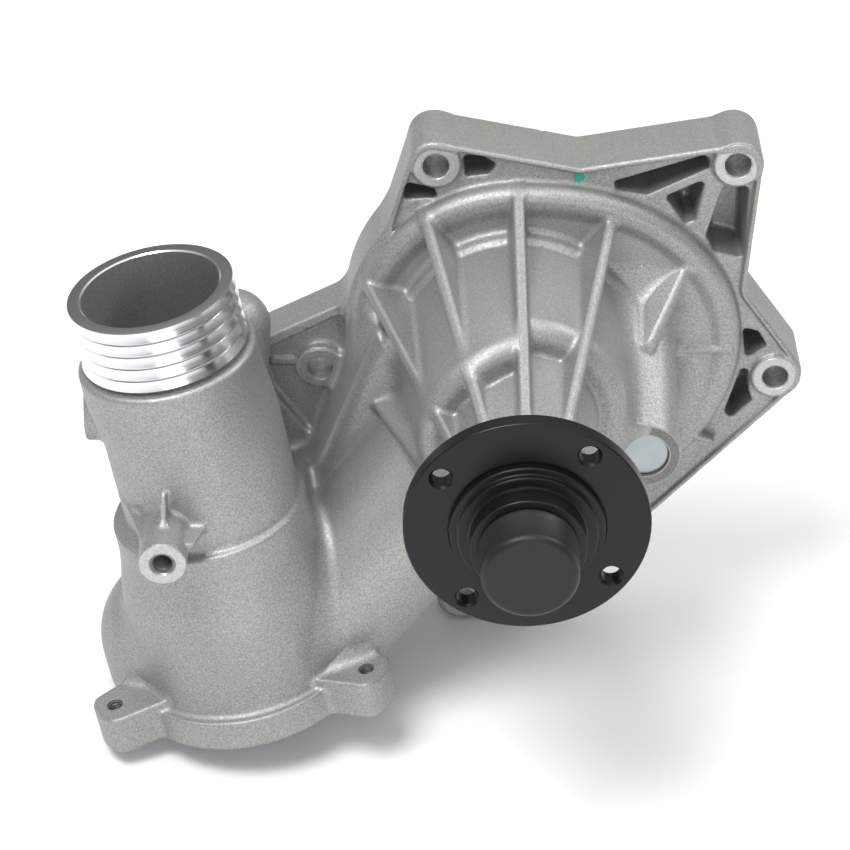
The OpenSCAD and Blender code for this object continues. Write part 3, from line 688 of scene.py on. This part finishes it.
def lathe(name, profile, place, segments=128, angle=25):
    """A turned solid from a closed (radius, distance) profile. place turns coordinates into metres."""
    profile = np.array(profile, float)
    t = np.arange(segments) * 2 * math.pi / segments
    r, d = (np.tile(profile[:, i], (segments, 1)) for i in range(2))
    verts = place((r * np.cos(t)[:, None]).ravel(), (r * np.sin(t)[:, None]).ravel(), d.ravel())
    obj = new_object(name, verts, ring_faces(segments, len(profile), True))
    bm = bmesh.new()
    bm.from_mesh(obj.data)
    bmesh.ops.remove_doubles(bm, verts=bm.verts, dist=1e-7)
    bmesh.ops.dissolve_degenerate(bm, edges=bm.edges, dist=1e-8)
    bmesh.ops.recalc_face_normals(bm, faces=bm.faces)
    bm.to_mesh(obj.data)
    bm.free()
    shade(obj, angle)
    return obj


def beside(centre):
    """The place of a turned piece whose axis runs along the shaft through a point in plan."""
    return lambda x, z, a: row_points(centre[0] + x, centre[1] + z, a)


def on_neck(u, v, s):
    """Points of the neck frame in the row frame, in metres."""
    c, n = math.cos(NECK_LEAN), math.sin(NECK_LEAN)
    return row_points(RIM_X + u * c + s * n, RIM_Z + u * n - s * c, NECK_A + v)


def arc(centre_r, centre_d, radius, start, end, steps=6):
    """Points of an arc in a lathe profile, with its angles in degrees."""
    t = np.radians(np.linspace(start, end, steps + 1))
    return [(centre_r + radius * math.cos(k), centre_d + radius * math.sin(k)) for k in t]


# ---- materials
def settle(node, **values):
    """Sets a node's sockets and settings by name. A socket's name has _ in place of its spaces."""
    for key, value in values.items():
        socket = key.replace("_", " ")
        if socket in node.inputs:
            node.inputs[socket].default_value = value
        else:
            setattr(node, key, value)
    return node


class Finish:
    """A material in the making: its Principled shader and the nodes that feed it."""

    def __init__(self, name, **values):
        self.material = bpy.data.materials.new(name)
        self.material.use_nodes = True
        self.nodes, self.link = self.material.node_tree.nodes, self.material.node_tree.links.new
        self.shader = settle(self.nodes["Principled BSDF"], **values)

    def add(self, kind, source=None, into=0, **values):
        """A node with its values set, and a source linked into one of its sockets."""
        node = settle(self.nodes.new(kind), **values)
        if source is not None:
            self.link(source, node.inputs[into])
        return node

    def noise(self, scale, detail=2, roughness=0.55, where=None):
        """Noise in features per metre, in object space unless another vector is given."""
        where = where or self.add("ShaderNodeTexCoord").outputs["Object"]
        settings = {"Scale": scale, "Detail": detail, "Roughness": roughness}
        return self.add("ShaderNodeTexNoise", where, "Vector", **settings).outputs["Fac"]

    def ramp(self, source, dark, light, full=0.7):
        """A colour ramp between two tones."""
        node = self.add("ShaderNodeValToRGB", source, "Fac")
        for stop, place, tone in zip(node.color_ramp.elements, (0.3, full), (dark, light)):
            stop.position = place
            stop.color = (*tone, 1)
        return node.outputs["Color"]

    def colour(self, source):
        """Links the shader's base colour."""
        self.link(source, self.shader.inputs["Base Color"])

    def rough(self, source, low, high):
        """Roughness that runs between two values with a source."""
        span = {"From_Min": 0.3, "From_Max": 0.7, "To_Min": low, "To_Max": high}
        node = self.add("ShaderNodeMapRange", source, "Value", **span)
        self.link(node.outputs["Result"], self.shader.inputs["Roughness"])

    def bump(self, height, strength, distance, under=None):
        """Bump of a height, over another bump if one is given. The distance is in metres."""
        node = self.add("ShaderNodeBump", height, "Height", Strength=strength, Distance=distance)
        if under is not None:
            self.link(under, node.inputs["Normal"])
        self.link(node.outputs["Normal"], self.shader.inputs["Normal"])
        return node.outputs["Normal"]


def cast_metal(name, dark, light, metallic=0.7, rough=(0.46, 0.6), grain=1500):
    """As-cast metal: a fine sparkling grain over soft cloudy tones."""
    skin = Finish(name, Metallic=metallic)
    fine = skin.noise(grain, 2, 0.6)
    tone = skin.ramp(skin.noise(26, 4, 0.6), (0.9, 0.9, 0.89), (1.0, 1.0, 1.0), 0.75)
    mix = skin.add("ShaderNodeMix", data_type="RGBA", blend_type="MULTIPLY", Factor=1)
    skin.link(skin.ramp(fine, dark, light), mix.inputs["A"])
    skin.link(tone, mix.inputs["B"])
    skin.colour(mix.outputs["Result"])
    skin.rough(fine, rough[1], rough[0])
    skin.bump(fine, 0.5, 0.0001, skin.bump(skin.noise(160), 0.2, 0.0003))
    return skin.material


def turned_metal(name, colour, rough, pitch, origin=(0, 0, 0), axis=(0, 1, 0), metallic=1.0, strength=0.25,
                 specular=0.5):
    """Turned metal: fine rings about an axis. The rings follow the distance from it and along it."""
    skin = Finish(name, Metallic=metallic, Specular_IOR_Level=specular)
    where = skin.add("ShaderNodeTexCoord").outputs["Object"]
    shift = skin.add("ShaderNodeVectorMath", where, operation="SUBTRACT")
    shift.inputs[1].default_value = origin
    both = skin.add("ShaderNodeCombineXYZ")
    for measure, socket in (("DOT_PRODUCT", "X"), ("LENGTH", "Y")):
        node = skin.add("ShaderNodeVectorMath", shift.outputs["Vector"], operation=measure)
        node.inputs[1].default_value = axis
        skin.link(node.outputs["Value"], both.inputs[socket])
    rings = skin.noise(1 / pitch, 2, 0.7, both.outputs["Vector"])
    skin.colour(skin.ramp(rings, tuple(c * 0.82 for c in colour), colour))
    skin.rough(rings, *rough)
    skin.bump(rings, strength, 0.00003)
    return skin.material


def plain_finish(name, dark, light, rough, metallic=0.0, grain=1500, strength=0.15, specular=0.5):
    """A smooth finish with slight mottling, scuffs and grain."""
    skin = Finish(name, Metallic=metallic, Specular_IOR_Level=specular)
    cloud = skin.noise(60, 5, 0.65)
    skin.colour(skin.ramp(cloud, dark, light))
    skin.rough(cloud, *rough)
    skin.bump(skin.noise(grain), strength, 0.00005)
    return skin.material


NECK_ORIGIN = tuple(float(c) for c in on_neck(0.0, 0.0, 0.0))
NECK_LINE = {"origin": NECK_ORIGIN, "axis": tuple(NECK_AXIS)}
# Rough aluminium darkened with painted shade, used on the plug boss's front and on the walls of the tapped
# holes.
PAINTED_SHADE_FACE = cast_metal("sunk_aluminium", (0.15, 0.15, 0.145), (0.24, 0.24, 0.235))
DULL_FACE = cast_metal("dull_machined_aluminium", (0.27, 0.27, 0.26), (0.38, 0.38, 0.365))
CAST = cast_metal("cast_aluminium_skin", (0.285, 0.287, 0.275), (0.445, 0.448, 0.43))
FACED = turned_metal("faced_aluminium", (0.72, 0.73, 0.74), (0.28, 0.42), 0.0005)
SPOT = cast_metal("spot_faced_aluminium", (0.46, 0.46, 0.45), (0.58, 0.58, 0.57), 0.85, (0.36, 0.46), 1100)
BORED = cast_metal("bored_aluminium", (0.4, 0.4, 0.38), (0.62, 0.62, 0.6), 0.9, (0.35, 0.5), 500)
NECK_METAL = turned_metal("turned_neck", (0.84, 0.85, 0.86), (0.14, 0.26), 0.0004, **NECK_LINE,
                          strength=0.15)
# A darker copy of the turned neck finish for the flat end face: painted shade standing in for its dim
# reflection.
NECK_FACE_PAINTED_SHADE = turned_metal("turned_neck_face", (0.34, 0.34, 0.335), (0.3, 0.42), 0.0004, **NECK_LINE,
                         strength=0.3)
BLACK = turned_metal("black_steel_finish", (0.007, 0.007, 0.0072), (0.26, 0.38), 0.0009, metallic=0.0,
                     strength=0.2, specular=0.3)
CAP = plain_finish("cap_plastic_finish", (0.01, 0.01, 0.0105), (0.014, 0.014, 0.0145), (0.4, 0.5),
                   specular=0.35)
ZINC = plain_finish("zinc_finish", (0.33, 0.375, 0.38), (0.43, 0.475, 0.48), (0.34, 0.46), 0.85, 900, 0.2)
STEEL = turned_metal("ground_steel", (0.62, 0.63, 0.65), (0.2, 0.32), 0.0006)
BEARING = turned_metal("bearing_steel_finish", (0.66, 0.67, 0.7), (0.12, 0.22), 0.0005)
BRASS = plain_finish("cage_finish", (0.5, 0.38, 0.17), (0.62, 0.48, 0.24), (0.35, 0.5), 0.7)
RUBBER = plain_finish("rubber_finish", (0.018, 0.018, 0.019), (0.03, 0.03, 0.031), (0.6, 0.8), 0, 1200, 0.3)
PRESSED = plain_finish("pressed_metal", (0.55, 0.52, 0.42), (0.66, 0.63, 0.53), (0.28, 0.4), 0.9)
CARBON = plain_finish("carbon_finish", (0.05, 0.05, 0.055), (0.08, 0.08, 0.085), (0.35, 0.5), 0.2)
CERAMIC = plain_finish("ceramic_finish", (0.72, 0.7, 0.64), (0.8, 0.78, 0.73), (0.15, 0.25))
IMPELLER_METAL = cast_metal("impeller_skin", (0.26, 0.26, 0.255), (0.44, 0.44, 0.43), 0.8)
PAINT = plain_finish("paint_mark", (0.01, 0.3, 0.24), (0.02, 0.38, 0.3), (0.45, 0.6))


# ---- the casting
def make_casting():
    """The casting's mesh, with machined faces in their own finish and exact normals."""
    cell, keep = ((0.95, 0.24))
    pad, off_grid = 2.5, 0.37
    low = np.array([HOUSING_LOW[0] - pad, HOUSING_LOW[2] - pad, -pad - off_grid])
    high = np.array([HOUSING_HIGH[0] + pad, HOUSING_HIGH[2] + pad, ENGINE_Y - HOUSING_LOW[1] + pad])
    solved, quads = contour(low, high, cell)
    obj = new_object("casting", row_points(*solved.T), quads)
    if keep < 1:
        thin = obj.modifiers.new("thin", "DECIMATE")
        thin.ratio = keep
        apply_modifiers(obj)
    finish_casting(obj)
    return obj


def face_frame(mesh):
    """A mesh as arrays in the face frame: its corners, the corner and the face of each loop, the faces'
    centres and their normals, the last in Blender's axes."""
    co = read(mesh.vertices, "co", 3) / MM
    co = np.stack([co[:, 0], co[:, 2], ENGINE_Y - co[:, 1]], axis=-1)
    loop_vertex = read(mesh.loops, "vertex_index", kind=np.int32)
    total = read(mesh.polygons, "loop_total", kind=np.int32)
    count = len(total)
    owner = np.repeat(np.arange(count), total)
    centre = np.stack([np.bincount(owner, co[loop_vertex, i], count) for i in range(3)], axis=-1)
    centre = (centre / total[:, None]).astype(np.float32)
    return co, loop_vertex, owner, centre, read(mesh.polygons, "normal", 3)


def outward(points):
    """The true outward direction at points of the face frame, in Blender's axes."""
    slope = gradient(points.astype(np.float32))
    return np.stack([slope[:, 0], -slope[:, 2], slope[:, 1]], axis=-1)


FOLDED = 0.3


def unfold(mesh, rounds=3):
    """Moves the corners of folded faces to the middle of their neighbours and back onto the surface, and
    turns round the faces that still look inward."""
    edges = read(mesh.edges, "vertices", 2, np.int32)
    ends, others = edges.ravel(), edges[:, ::-1].ravel()
    for _ in range(rounds):
        co, loop_vertex, owner, centre, normal = face_frame(mesh)
        bad = (outward(centre) * normal).sum(1) < FOLDED
        move = np.unique(loop_vertex[bad[owner]])
        degree = np.bincount(ends, minlength=len(co))[move]
        totals = [np.bincount(ends, co[others, i], len(co))[move] for i in range(3)]
        middle = np.stack([total / degree for total in totals], axis=-1)
        for _ in range(2):
            middle = middle.astype(np.float32)
            middle = middle - evaluate(middle)[:, None] * gradient(middle)
        co[move] = middle
        mesh.vertices.foreach_set("co", row_points(*co.T).astype(np.float32).ravel())
        mesh.update()
    centre, normal = face_frame(mesh)[3:]
    for index in np.where((outward(centre) * normal).sum(1) < 0)[0]:
        mesh.polygons[int(index)].flip()
    mesh.update()


def finish_casting(obj):
    """Gives the machined faces their finish and every corner its exact normal."""
    mesh = obj.data
    for mat in (CAST, FACED, BORED):
        mesh.materials.append(mat)
    unfold(mesh)
    co, loop_vertex, owner, centre, normal = face_frame(mesh)
    count = len(normal)
    x, z, a = centre.T
    near, level = 0.35, 0.9
    machined = (normal[:, 1] > level) & (a < near)
    below_rim = neck_frame(x, z, a)[2]
    down = normal[:, 0] * -NECK_AXIS[0] + normal[:, 2] * -NECK_AXIS[2]
    machined |= (down > level) & (np.abs(below_rim - CHAMBER_LEN) < near)
    bored = np.zeros(count, bool)
    for spot in (BOLT_TL, BOLT_TR, BOLT_R, BOLT_LOW, BOLT_L):
        bored |= np.abs(disc(x, z, spot, BOLT_HOLE_R + HOLE_EASE)) < near
    index = np.where(machined, 1, np.where(bored, 2, 0)).astype(np.int32)
    mesh.polygons.foreach_set("material_index", index)
    mesh.polygons.foreach_set("use_smooth", np.ones(count, bool))
    inward, too_far = 0.22, 0.6
    at = co[loop_vertex] * (1 - inward) + centre[owner] * inward
    custom = outward(at)
    flat = normal[owner]
    off = (custom * flat).sum(1) < too_far
    custom[off] = flat[off]
    mesh.normals_split_custom_set(custom.tolist())


belong(make_casting(), node="housing")


# ---- the turned hose neck
def neck_profile():
    """Five hose barbs with a chamfered rim, and a relief groove below the last one."""
    pitch, count, land = 4.7, 5, 3.1
    top, depth = 0.5, 1.35
    points = [(NECK_BORE_R - 0.1, 0.4), (NECK_BORE_R + 0.5, 0)]
    points += [(NECK_R - 1.0, 0), (NECK_R - 0.35, 0.15)]
    for i in range(count):
        s = top + i * pitch
        points += [(NECK_R - 0.75, s), (NECK_R - 0.55, s + land * 0.5), (NECK_R - 0.1, s + land)]
        points += [(NECK_R - 0.02, s + land + 0.35), (NECK_R - 0.3, s + land + 0.7)]
        points += [(NECK_R - depth, s + land + 0.85), (NECK_R - depth - 0.1, s + land + 1.3)]
    points += [(NECK_R - 2.4, NECK_LEN - 0.3), (NECK_R - 2.4, NECK_LEN + 4)]
    points += [(NECK_BORE_R - 0.1, NECK_LEN + 4)]
    return points


neck = lathe("hose_neck_turned", neck_profile(), on_neck, 192, 20)
for finish in (NECK_METAL, CAST, NECK_FACE_PAINTED_SHADE):
    neck.data.materials.append(finish)


def finish_neck():
    """Gives the bore and the flat end face of the neck their own finishes; the end face's finish is
    darkened, painted shade in place of its dim reflection.
    """
    axis, origin = Vector(NECK_AXIS), Vector(NECK_ORIGIN)
    for polygon in neck.data.polygons:
        out = polygon.center - origin
        below = -out.dot(axis) / MM
        out += below * MM * axis
        level = polygon.normal.dot(axis)
        if out.length / MM < NECK_BORE_R and abs(level) < 0.3:
            polygon.material_index = 1
        elif level > 0.97 and below < 0.3:
            polygon.material_index = 2


finish_neck()
belong(neck)


# ---- spot faces, threads and the paint mark
def spot_face(name, centre, bore, outer, ahead, finish):
    """The thin skin a cutter leaves on a boss, with a broken edge at the hole."""
    skin, edge = 0.12, 0.5
    profile = [(bore, ahead - 1), (bore, ahead - edge), (bore + edge, ahead + skin)]
    profile += [(outer - skin, ahead + skin), (outer, ahead), (outer, ahead - 1)]
    belong(lathe(name, profile, beside(centre), 72, 20), finish=finish)


for number, spot in enumerate((BOLT_TL, BOLT_TR, BOLT_R, BOLT_LOW)):
    spot_face(f"bolt_face_{number + 1}", spot, BOLT_HOLE_R + HOLE_EASE, 7.9, FLANGE_T + BOSS_PROUD, SPOT)
spot_face("bolt_face_5", BOLT_L, BOLT_HOLE_R + HOLE_EASE, 7.6, LEFT_BOSS_A, DULL_FACE)
spot_face("accessory_face", (ACC_X, ACC_Z), ACC_TAP_R + THREAD_DEPTH, 7.9, ACC_A, SPOT)
# The plug's seat takes the darkened finish: painted shade round the plug, between it and the hub.
spot_face("plug_seat", (PLUG_X, PLUG_Z), PLUG_R, 11.9, PLUG_A, PAINTED_SHADE_FACE)


def thread_rings(name, place, r, start, end, pitch=1.25, depth=THREAD_DEPTH):
    """The walls of a tapped hole, as close V rings."""
    points = []
    for i in range(int((end - start) / pitch)):
        d = start + i * pitch
        points += [(r - depth, d), (r, d + pitch / 2)]
    points += [(r - depth, end), (r + 0.35, end), (r + 0.35, start)]
    # The thread walls take the finish darkened with painted shade.
    belong(lathe(name, points, place, 48, 15), finish=PAINTED_SHADE_FACE)


thread_rings("accessory_thread", beside((ACC_X, ACC_Z)), ACC_TAP_R + THREAD_DEPTH, ACC_HOLE_A + 0.5,
             ACC_A - 0.6)
for number, (eu, ev) in enumerate(COVER_HOLES):
    thread_rings(f"cover_thread_{number + 1}", lambda u, v, s, eu=eu, ev=ev: on_neck(eu + u, ev + v, s),
                 COVER_HOLE_R, 151.2, CHAMBER_LEN - 0.4, 1.0, 0.5)


def paint_dot():
    """A brushed dot of paint on the shelf of the flange."""
    centre, radius, thick, sides = (21, 59.9), 1.9, 0.12, 40
    bm = bmesh.new()
    ring = []
    for k in range(sides):
        t = 2 * math.pi * k / sides
        r = radius * (1 + 0.06 * math.sin(3 * t + 1) + 0.04 * math.sin(7 * t))
        x, z = centre[0] + r * math.cos(t), centre[1] + r * math.sin(t)
        ring.append(bm.verts.new(row_points(x, z, SHELF_A + 0.03)))
    face = bm.faces.new(ring)
    made = bmesh.ops.extrude_face_region(bm, geom=[face])
    moved = [v for v in made["geom"] if isinstance(v, bmesh.types.BMVert)]
    bmesh.ops.translate(bm, verts=moved, vec=(0, -thick * MM, 0))
    bmesh.ops.recalc_face_normals(bm, faces=bm.faces)
    mesh = bpy.data.meshes.new("paint_dot")
    bm.to_mesh(mesh)
    bm.free()
    belong(in_scene("paint_dot", mesh), finish=PAINT)


paint_dot()


# ---- the pulley hub and its cap
def hub_profile():
    """The flange, pilot, collar and threaded spigot, with small turned edges, ahead of the hub's face."""
    back, front, rim_r, shaft_r, e = -29, -HUB_LOW[1], HUB_HIGH[0], 9.5, 0.7
    points = [(shaft_r, back), (19.6, back), (20, back + 0.4), (20, -8)]
    points += arc(22, -8, 2, 180, 90)
    points += [(rim_r - e, -6), (rim_r, -6 + e), (rim_r, -e)]
    points += arc(rim_r - e, -e, e, 0, 90, 4)
    points += [(25.6, 0), (25.4, -0.5), (25.0, -0.5), (25, 2.3), (24.6, 2.7), (23.0, 2.7)]
    points += [(22.6, 3.1), (22.6, 4.3), (22.2, 4.7), (19.4, 4.7), (18.75, 5.2), (18.75, 11.4)]
    points += arc(18.15, 11.4, 0.6, 0, 90, 4)
    points += [(14.9, 12), (14.5, 11.6)]
    for i in range(6):
        points += [(14.4, 12.4 + 1.5 * i), (13.6, 13.15 + 1.5 * i)]
    points += [(14.4, 21.8), (13.6, front - 0.2), (shaft_r, front - 0.2)]
    return [(r, ENGINE_Y + d) for r, d in points]


def hub_piece():
    """The hub, drilled and countersunk for the pulley screws."""
    obj = lathe("hub_turned", hub_profile(), row_points, 192, 22)
    hub_a, hole_r = ENGINE_Y, MOUNTS["pulley_bolts"]["dims"]["hole_r_mm"]
    pitch_r = MOUNTS["pulley_bolts"]["dims"]["pcd_mm"] / 2
    first_angle, sink = 55.3, 0.8
    profile = [(0.001, hub_a - 9), (hole_r, hub_a - 9), (hole_r, hub_a - sink)]
    profile += [(hole_r + 2 * sink, hub_a + sink), (0.001, hub_a + sink)]
    for k in range(4):
        t = math.radians(first_angle + 90 * k)
        tool = lathe(f"tool_{k}", profile, beside((pitch_r * math.cos(t), pitch_r * math.sin(t))), 48)
        drill = obj.modifiers.new("drill", "BOOLEAN")
        drill.operation, drill.solver, drill.object = "DIFFERENCE", "EXACT", tool
        apply_modifiers(obj)
        bpy.data.objects.remove(tool)
    shade(obj, 22)
    obj.data.materials.clear()
    return obj


belong(hub_piece(), "rotor", "pulley_hub", BLACK)


def cap_profile():
    """The moulded transit cap: a drafted wall, a rounded top edge and a slightly dished face."""
    r, back, front = CAP_HIGH[0], ENGINE_Y - CAP_HIGH[1], ENGINE_Y - CAP_LOW[1]
    inner, wall, edge = 14.6, 1.6, 2.6
    points = [(inner, back), (r - 0.3, back), (r, back + 0.3), (r, back + 1.6), (r - 0.25, back + 2)]
    points += arc(r - 0.5 - edge, front - edge, edge, 0, 90, 8)
    points += [(r - 5.2, front - 0.08), (0.001, front - 0.25), (0.001, front - wall)]
    points += [(inner, front - wall)]
    return points


belong(lathe("transit_cap", cap_profile(), row_points, 128, 35), "cap", "nose_cap", CAP)


def plug_profile():
    """The pressed cup that closes the boss, with a drawn edge and a faint dish."""
    back, front = ENGINE_Y - PLUG_HIGH[1], ENGINE_Y - PLUG_LOW[1]
    wall, edge = 1.6, 0.8
    points = [(PLUG_R - wall, back), (PLUG_R, back)]
    points += arc(PLUG_R - edge, front - edge, edge, 0, 90, 5)
    points += [(PLUG_R - 2.2, front), (PLUG_R - 3, front - 0.12), (0.001, front - 0.18)]
    points += [(0.001, front - wall), (PLUG_R - wall, front - wall)]
    return points


plug = lathe("plug_cup", plug_profile(), beside((PLUG_X, PLUG_Z)), 96, 30)
belong(plug, node="weep_plug", finish=ZINC)


# ---- the seal's sleeve and spring
SLEEVE_LOW, SLEEVE_HIGH = node_box("seal_bellows")
SPRING_LOW, SPRING_HIGH = node_box("seal_spring")


def sleeve_profile():
    """The corrugated rubber sleeve, with three round folds."""
    back, front = ENGINE_Y - SLEEVE_HIGH[1], ENGINE_Y - SLEEVE_LOW[1]
    low_r, deep, wall, folds, steps = 10.9, 1.2, 1.2, 3, 48
    inner = []
    for i in range(steps + 1):
        t = i / steps
        fold = 0.5 - 0.5 * math.cos(2 * math.pi * folds * t)
        inner.append((low_r + deep * fold, back + (front - back) * t))
    return inner + [(r + wall, a) for r, a in reversed(inner)]


def spring_wire():
    """The coil spring as a round wire swept along a helix."""
    wire_r, coils, per_coil, sides = 0.7, 4, 64, 12
    back = ENGINE_Y - SPRING_HIGH[1] + wire_r
    front = ENGINE_Y - SPRING_LOW[1] - wire_r
    coil_r = SPRING_HIGH[0] - wire_r
    steps = coils * per_coil
    turn = 2 * math.pi * np.arange(steps + 1)[:, None] / per_coil
    around = 2 * math.pi * np.arange(sides) / sides
    r = coil_r + wire_r * np.cos(around)
    rise = back + (front - back) * np.arange(steps + 1)[:, None] / steps + wire_r * np.sin(around)
    verts = row_points((r * np.cos(turn)).ravel(), (r * np.sin(turn)).ravel(), rise.ravel())
    caps = []
    for j in range(sides // 2 - 1):
        cap = (j, j + 1, sides - 2 - j, sides - 1 - j)
        caps += [cap[::-1], [steps * sides + k for k in cap]]
    faces = np.concatenate([ring_faces(steps + 1, sides, False), caps])
    obj = new_object("seal_spring_wire", verts, faces)
    shade(obj, 40)
    return obj


def flex(obj, finish, node):
    """Gives a seal piece its finish, hides the CAD node it replaces and bakes its placement into its mesh.
    """
    obj.data.materials.append(finish)
    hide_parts(node)
    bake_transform(obj)


flex(lathe("seal_sleeve", sleeve_profile(), row_points, 96, 40), RUBBER, "seal_bellows")
flex(spring_wire(), STEEL, "seal_spring")


# ---- finishes of the CAD pieces that show
CAD_FINISH = {
    "profile_gasket": RUBBER, "shaft": STEEL, "bearing_outer_ring": BEARING, "bearing_balls": BEARING,
    "ball_cage": BRASS, "bearing_rollers": BEARING, "roller_cage": BRASS, "bearing_seal_front": RUBBER,
    "bearing_seal_rear": RUBBER, "slinger_ring": RUBBER, "seal_cup": PRESSED, "seal_carbon_ring": CARBON,
    "seal_mating_ring": CERAMIC, "mating_ring_boot": RUBBER, "impeller": IMPELLER_METAL,
    "impeller_bush": STEEL}
for node, finish in CAD_FINISH.items():
    slots = frame["nodes"][node].data.materials
    if not slots:
        slots.append(finish)
    for i in range(len(slots)):
        slots[i] = finish


# ---- floor, light and camera
def make_floor():
    """A pale sweep under the part."""
    gap, size, bend, radius, steps = 0.0015, 3.0, 2.4, 0.5, 24
    z = cad_bounds[0].z - gap
    rows = [(-size, z), (bend, z)]
    for k in range(1, steps + 1):
        t = k / steps * math.pi / 2
        rows.append((bend + radius * math.sin(t), z + radius * (1 - math.cos(t))))
    verts, faces = [], []
    for y, h in rows:
        verts += [(-size * 1.5, y, h), (size * 1.5, y, h)]
    for k in range(len(rows) - 1):
        faces.append((2 * k, 2 * k + 1, 2 * k + 3, 2 * k + 2))
    floor = new_object("floor", verts, faces)
    shade(floor, 60)
    skin = Finish("floor_finish", Roughness=0.9, Specular_IOR_Level=0.2)
    skin.colour(skin.ramp(skin.noise(3), (0.86, 0.86, 0.86), (0.88, 0.88, 0.88)))
    floor.data.materials.append(skin.material)


def aim(name, data, place, forward):
    """Puts a light or camera in the scene, looking along a direction."""
    obj = in_scene(name, data)
    obj.location = place
    obj.rotation_mode = "QUATERNION"
    obj.rotation_quaternion = forward.to_track_quat("-Z", "Y")
    return obj


def area_light(name, place, target, size, power):
    """A round area light that looks at a point."""
    light = bpy.data.lights.new(name, "AREA")
    light.shape, light.size, light.energy = "DISK", size, power
    aim(name, light, place, Vector(target) - Vector(place))


def make_light():
    """A studio: a soft light high on the left, a weaker one high on the right, a wide one in front, and
    surroundings that are brighter above than below."""
    world = bpy.data.worlds.new("studio")
    bpy.context.scene.world = world
    world.use_nodes = True
    nodes, link = world.node_tree.nodes, world.node_tree.links.new
    where = nodes.new("ShaderNodeTexCoord")
    parts = nodes.new("ShaderNodeSeparateXYZ")
    fade = settle(nodes.new("ShaderNodeMapRange"), From_Min=0.42, From_Max=1.0, To_Min=0.26, To_Max=1.25)
    back = settle(nodes["Background"], Color=(1, 1, 1, 1))
    link(where.outputs["Generated"], parts.inputs["Vector"])
    link(parts.outputs["Z"], fade.inputs["Value"])
    link(fade.outputs["Result"], back.inputs["Strength"])
    target = (-0.02, 0.07, 0)
    area_light("key", (-0.45, -0.35, 1.25), target, 0.7, 15)
    area_light("rim", (0.9, 0.35, 1.0), target, 0.5, 6)
    area_light("front", (0.2, -1.5, 0.25), target, 1.0, 6)
    bpy.context.scene.view_settings.view_transform = "Standard"


def make_camera():
    """The camera of the reference view: straight ahead of the hub and about 34 degrees above it."""
    camera = bpy.data.cameras.new("camera")
    camera.sensor_width, camera.lens = 36, 124.95
    camera.clip_start, camera.clip_end = 0.05, 20
    place, forward = (-0.03833, -0.76991, 0.55071), Vector((0.00596, 0.83321, -0.55293))
    bpy.context.scene.camera = aim("camera", camera, place, forward)


make_floor()
make_light()
make_camera()
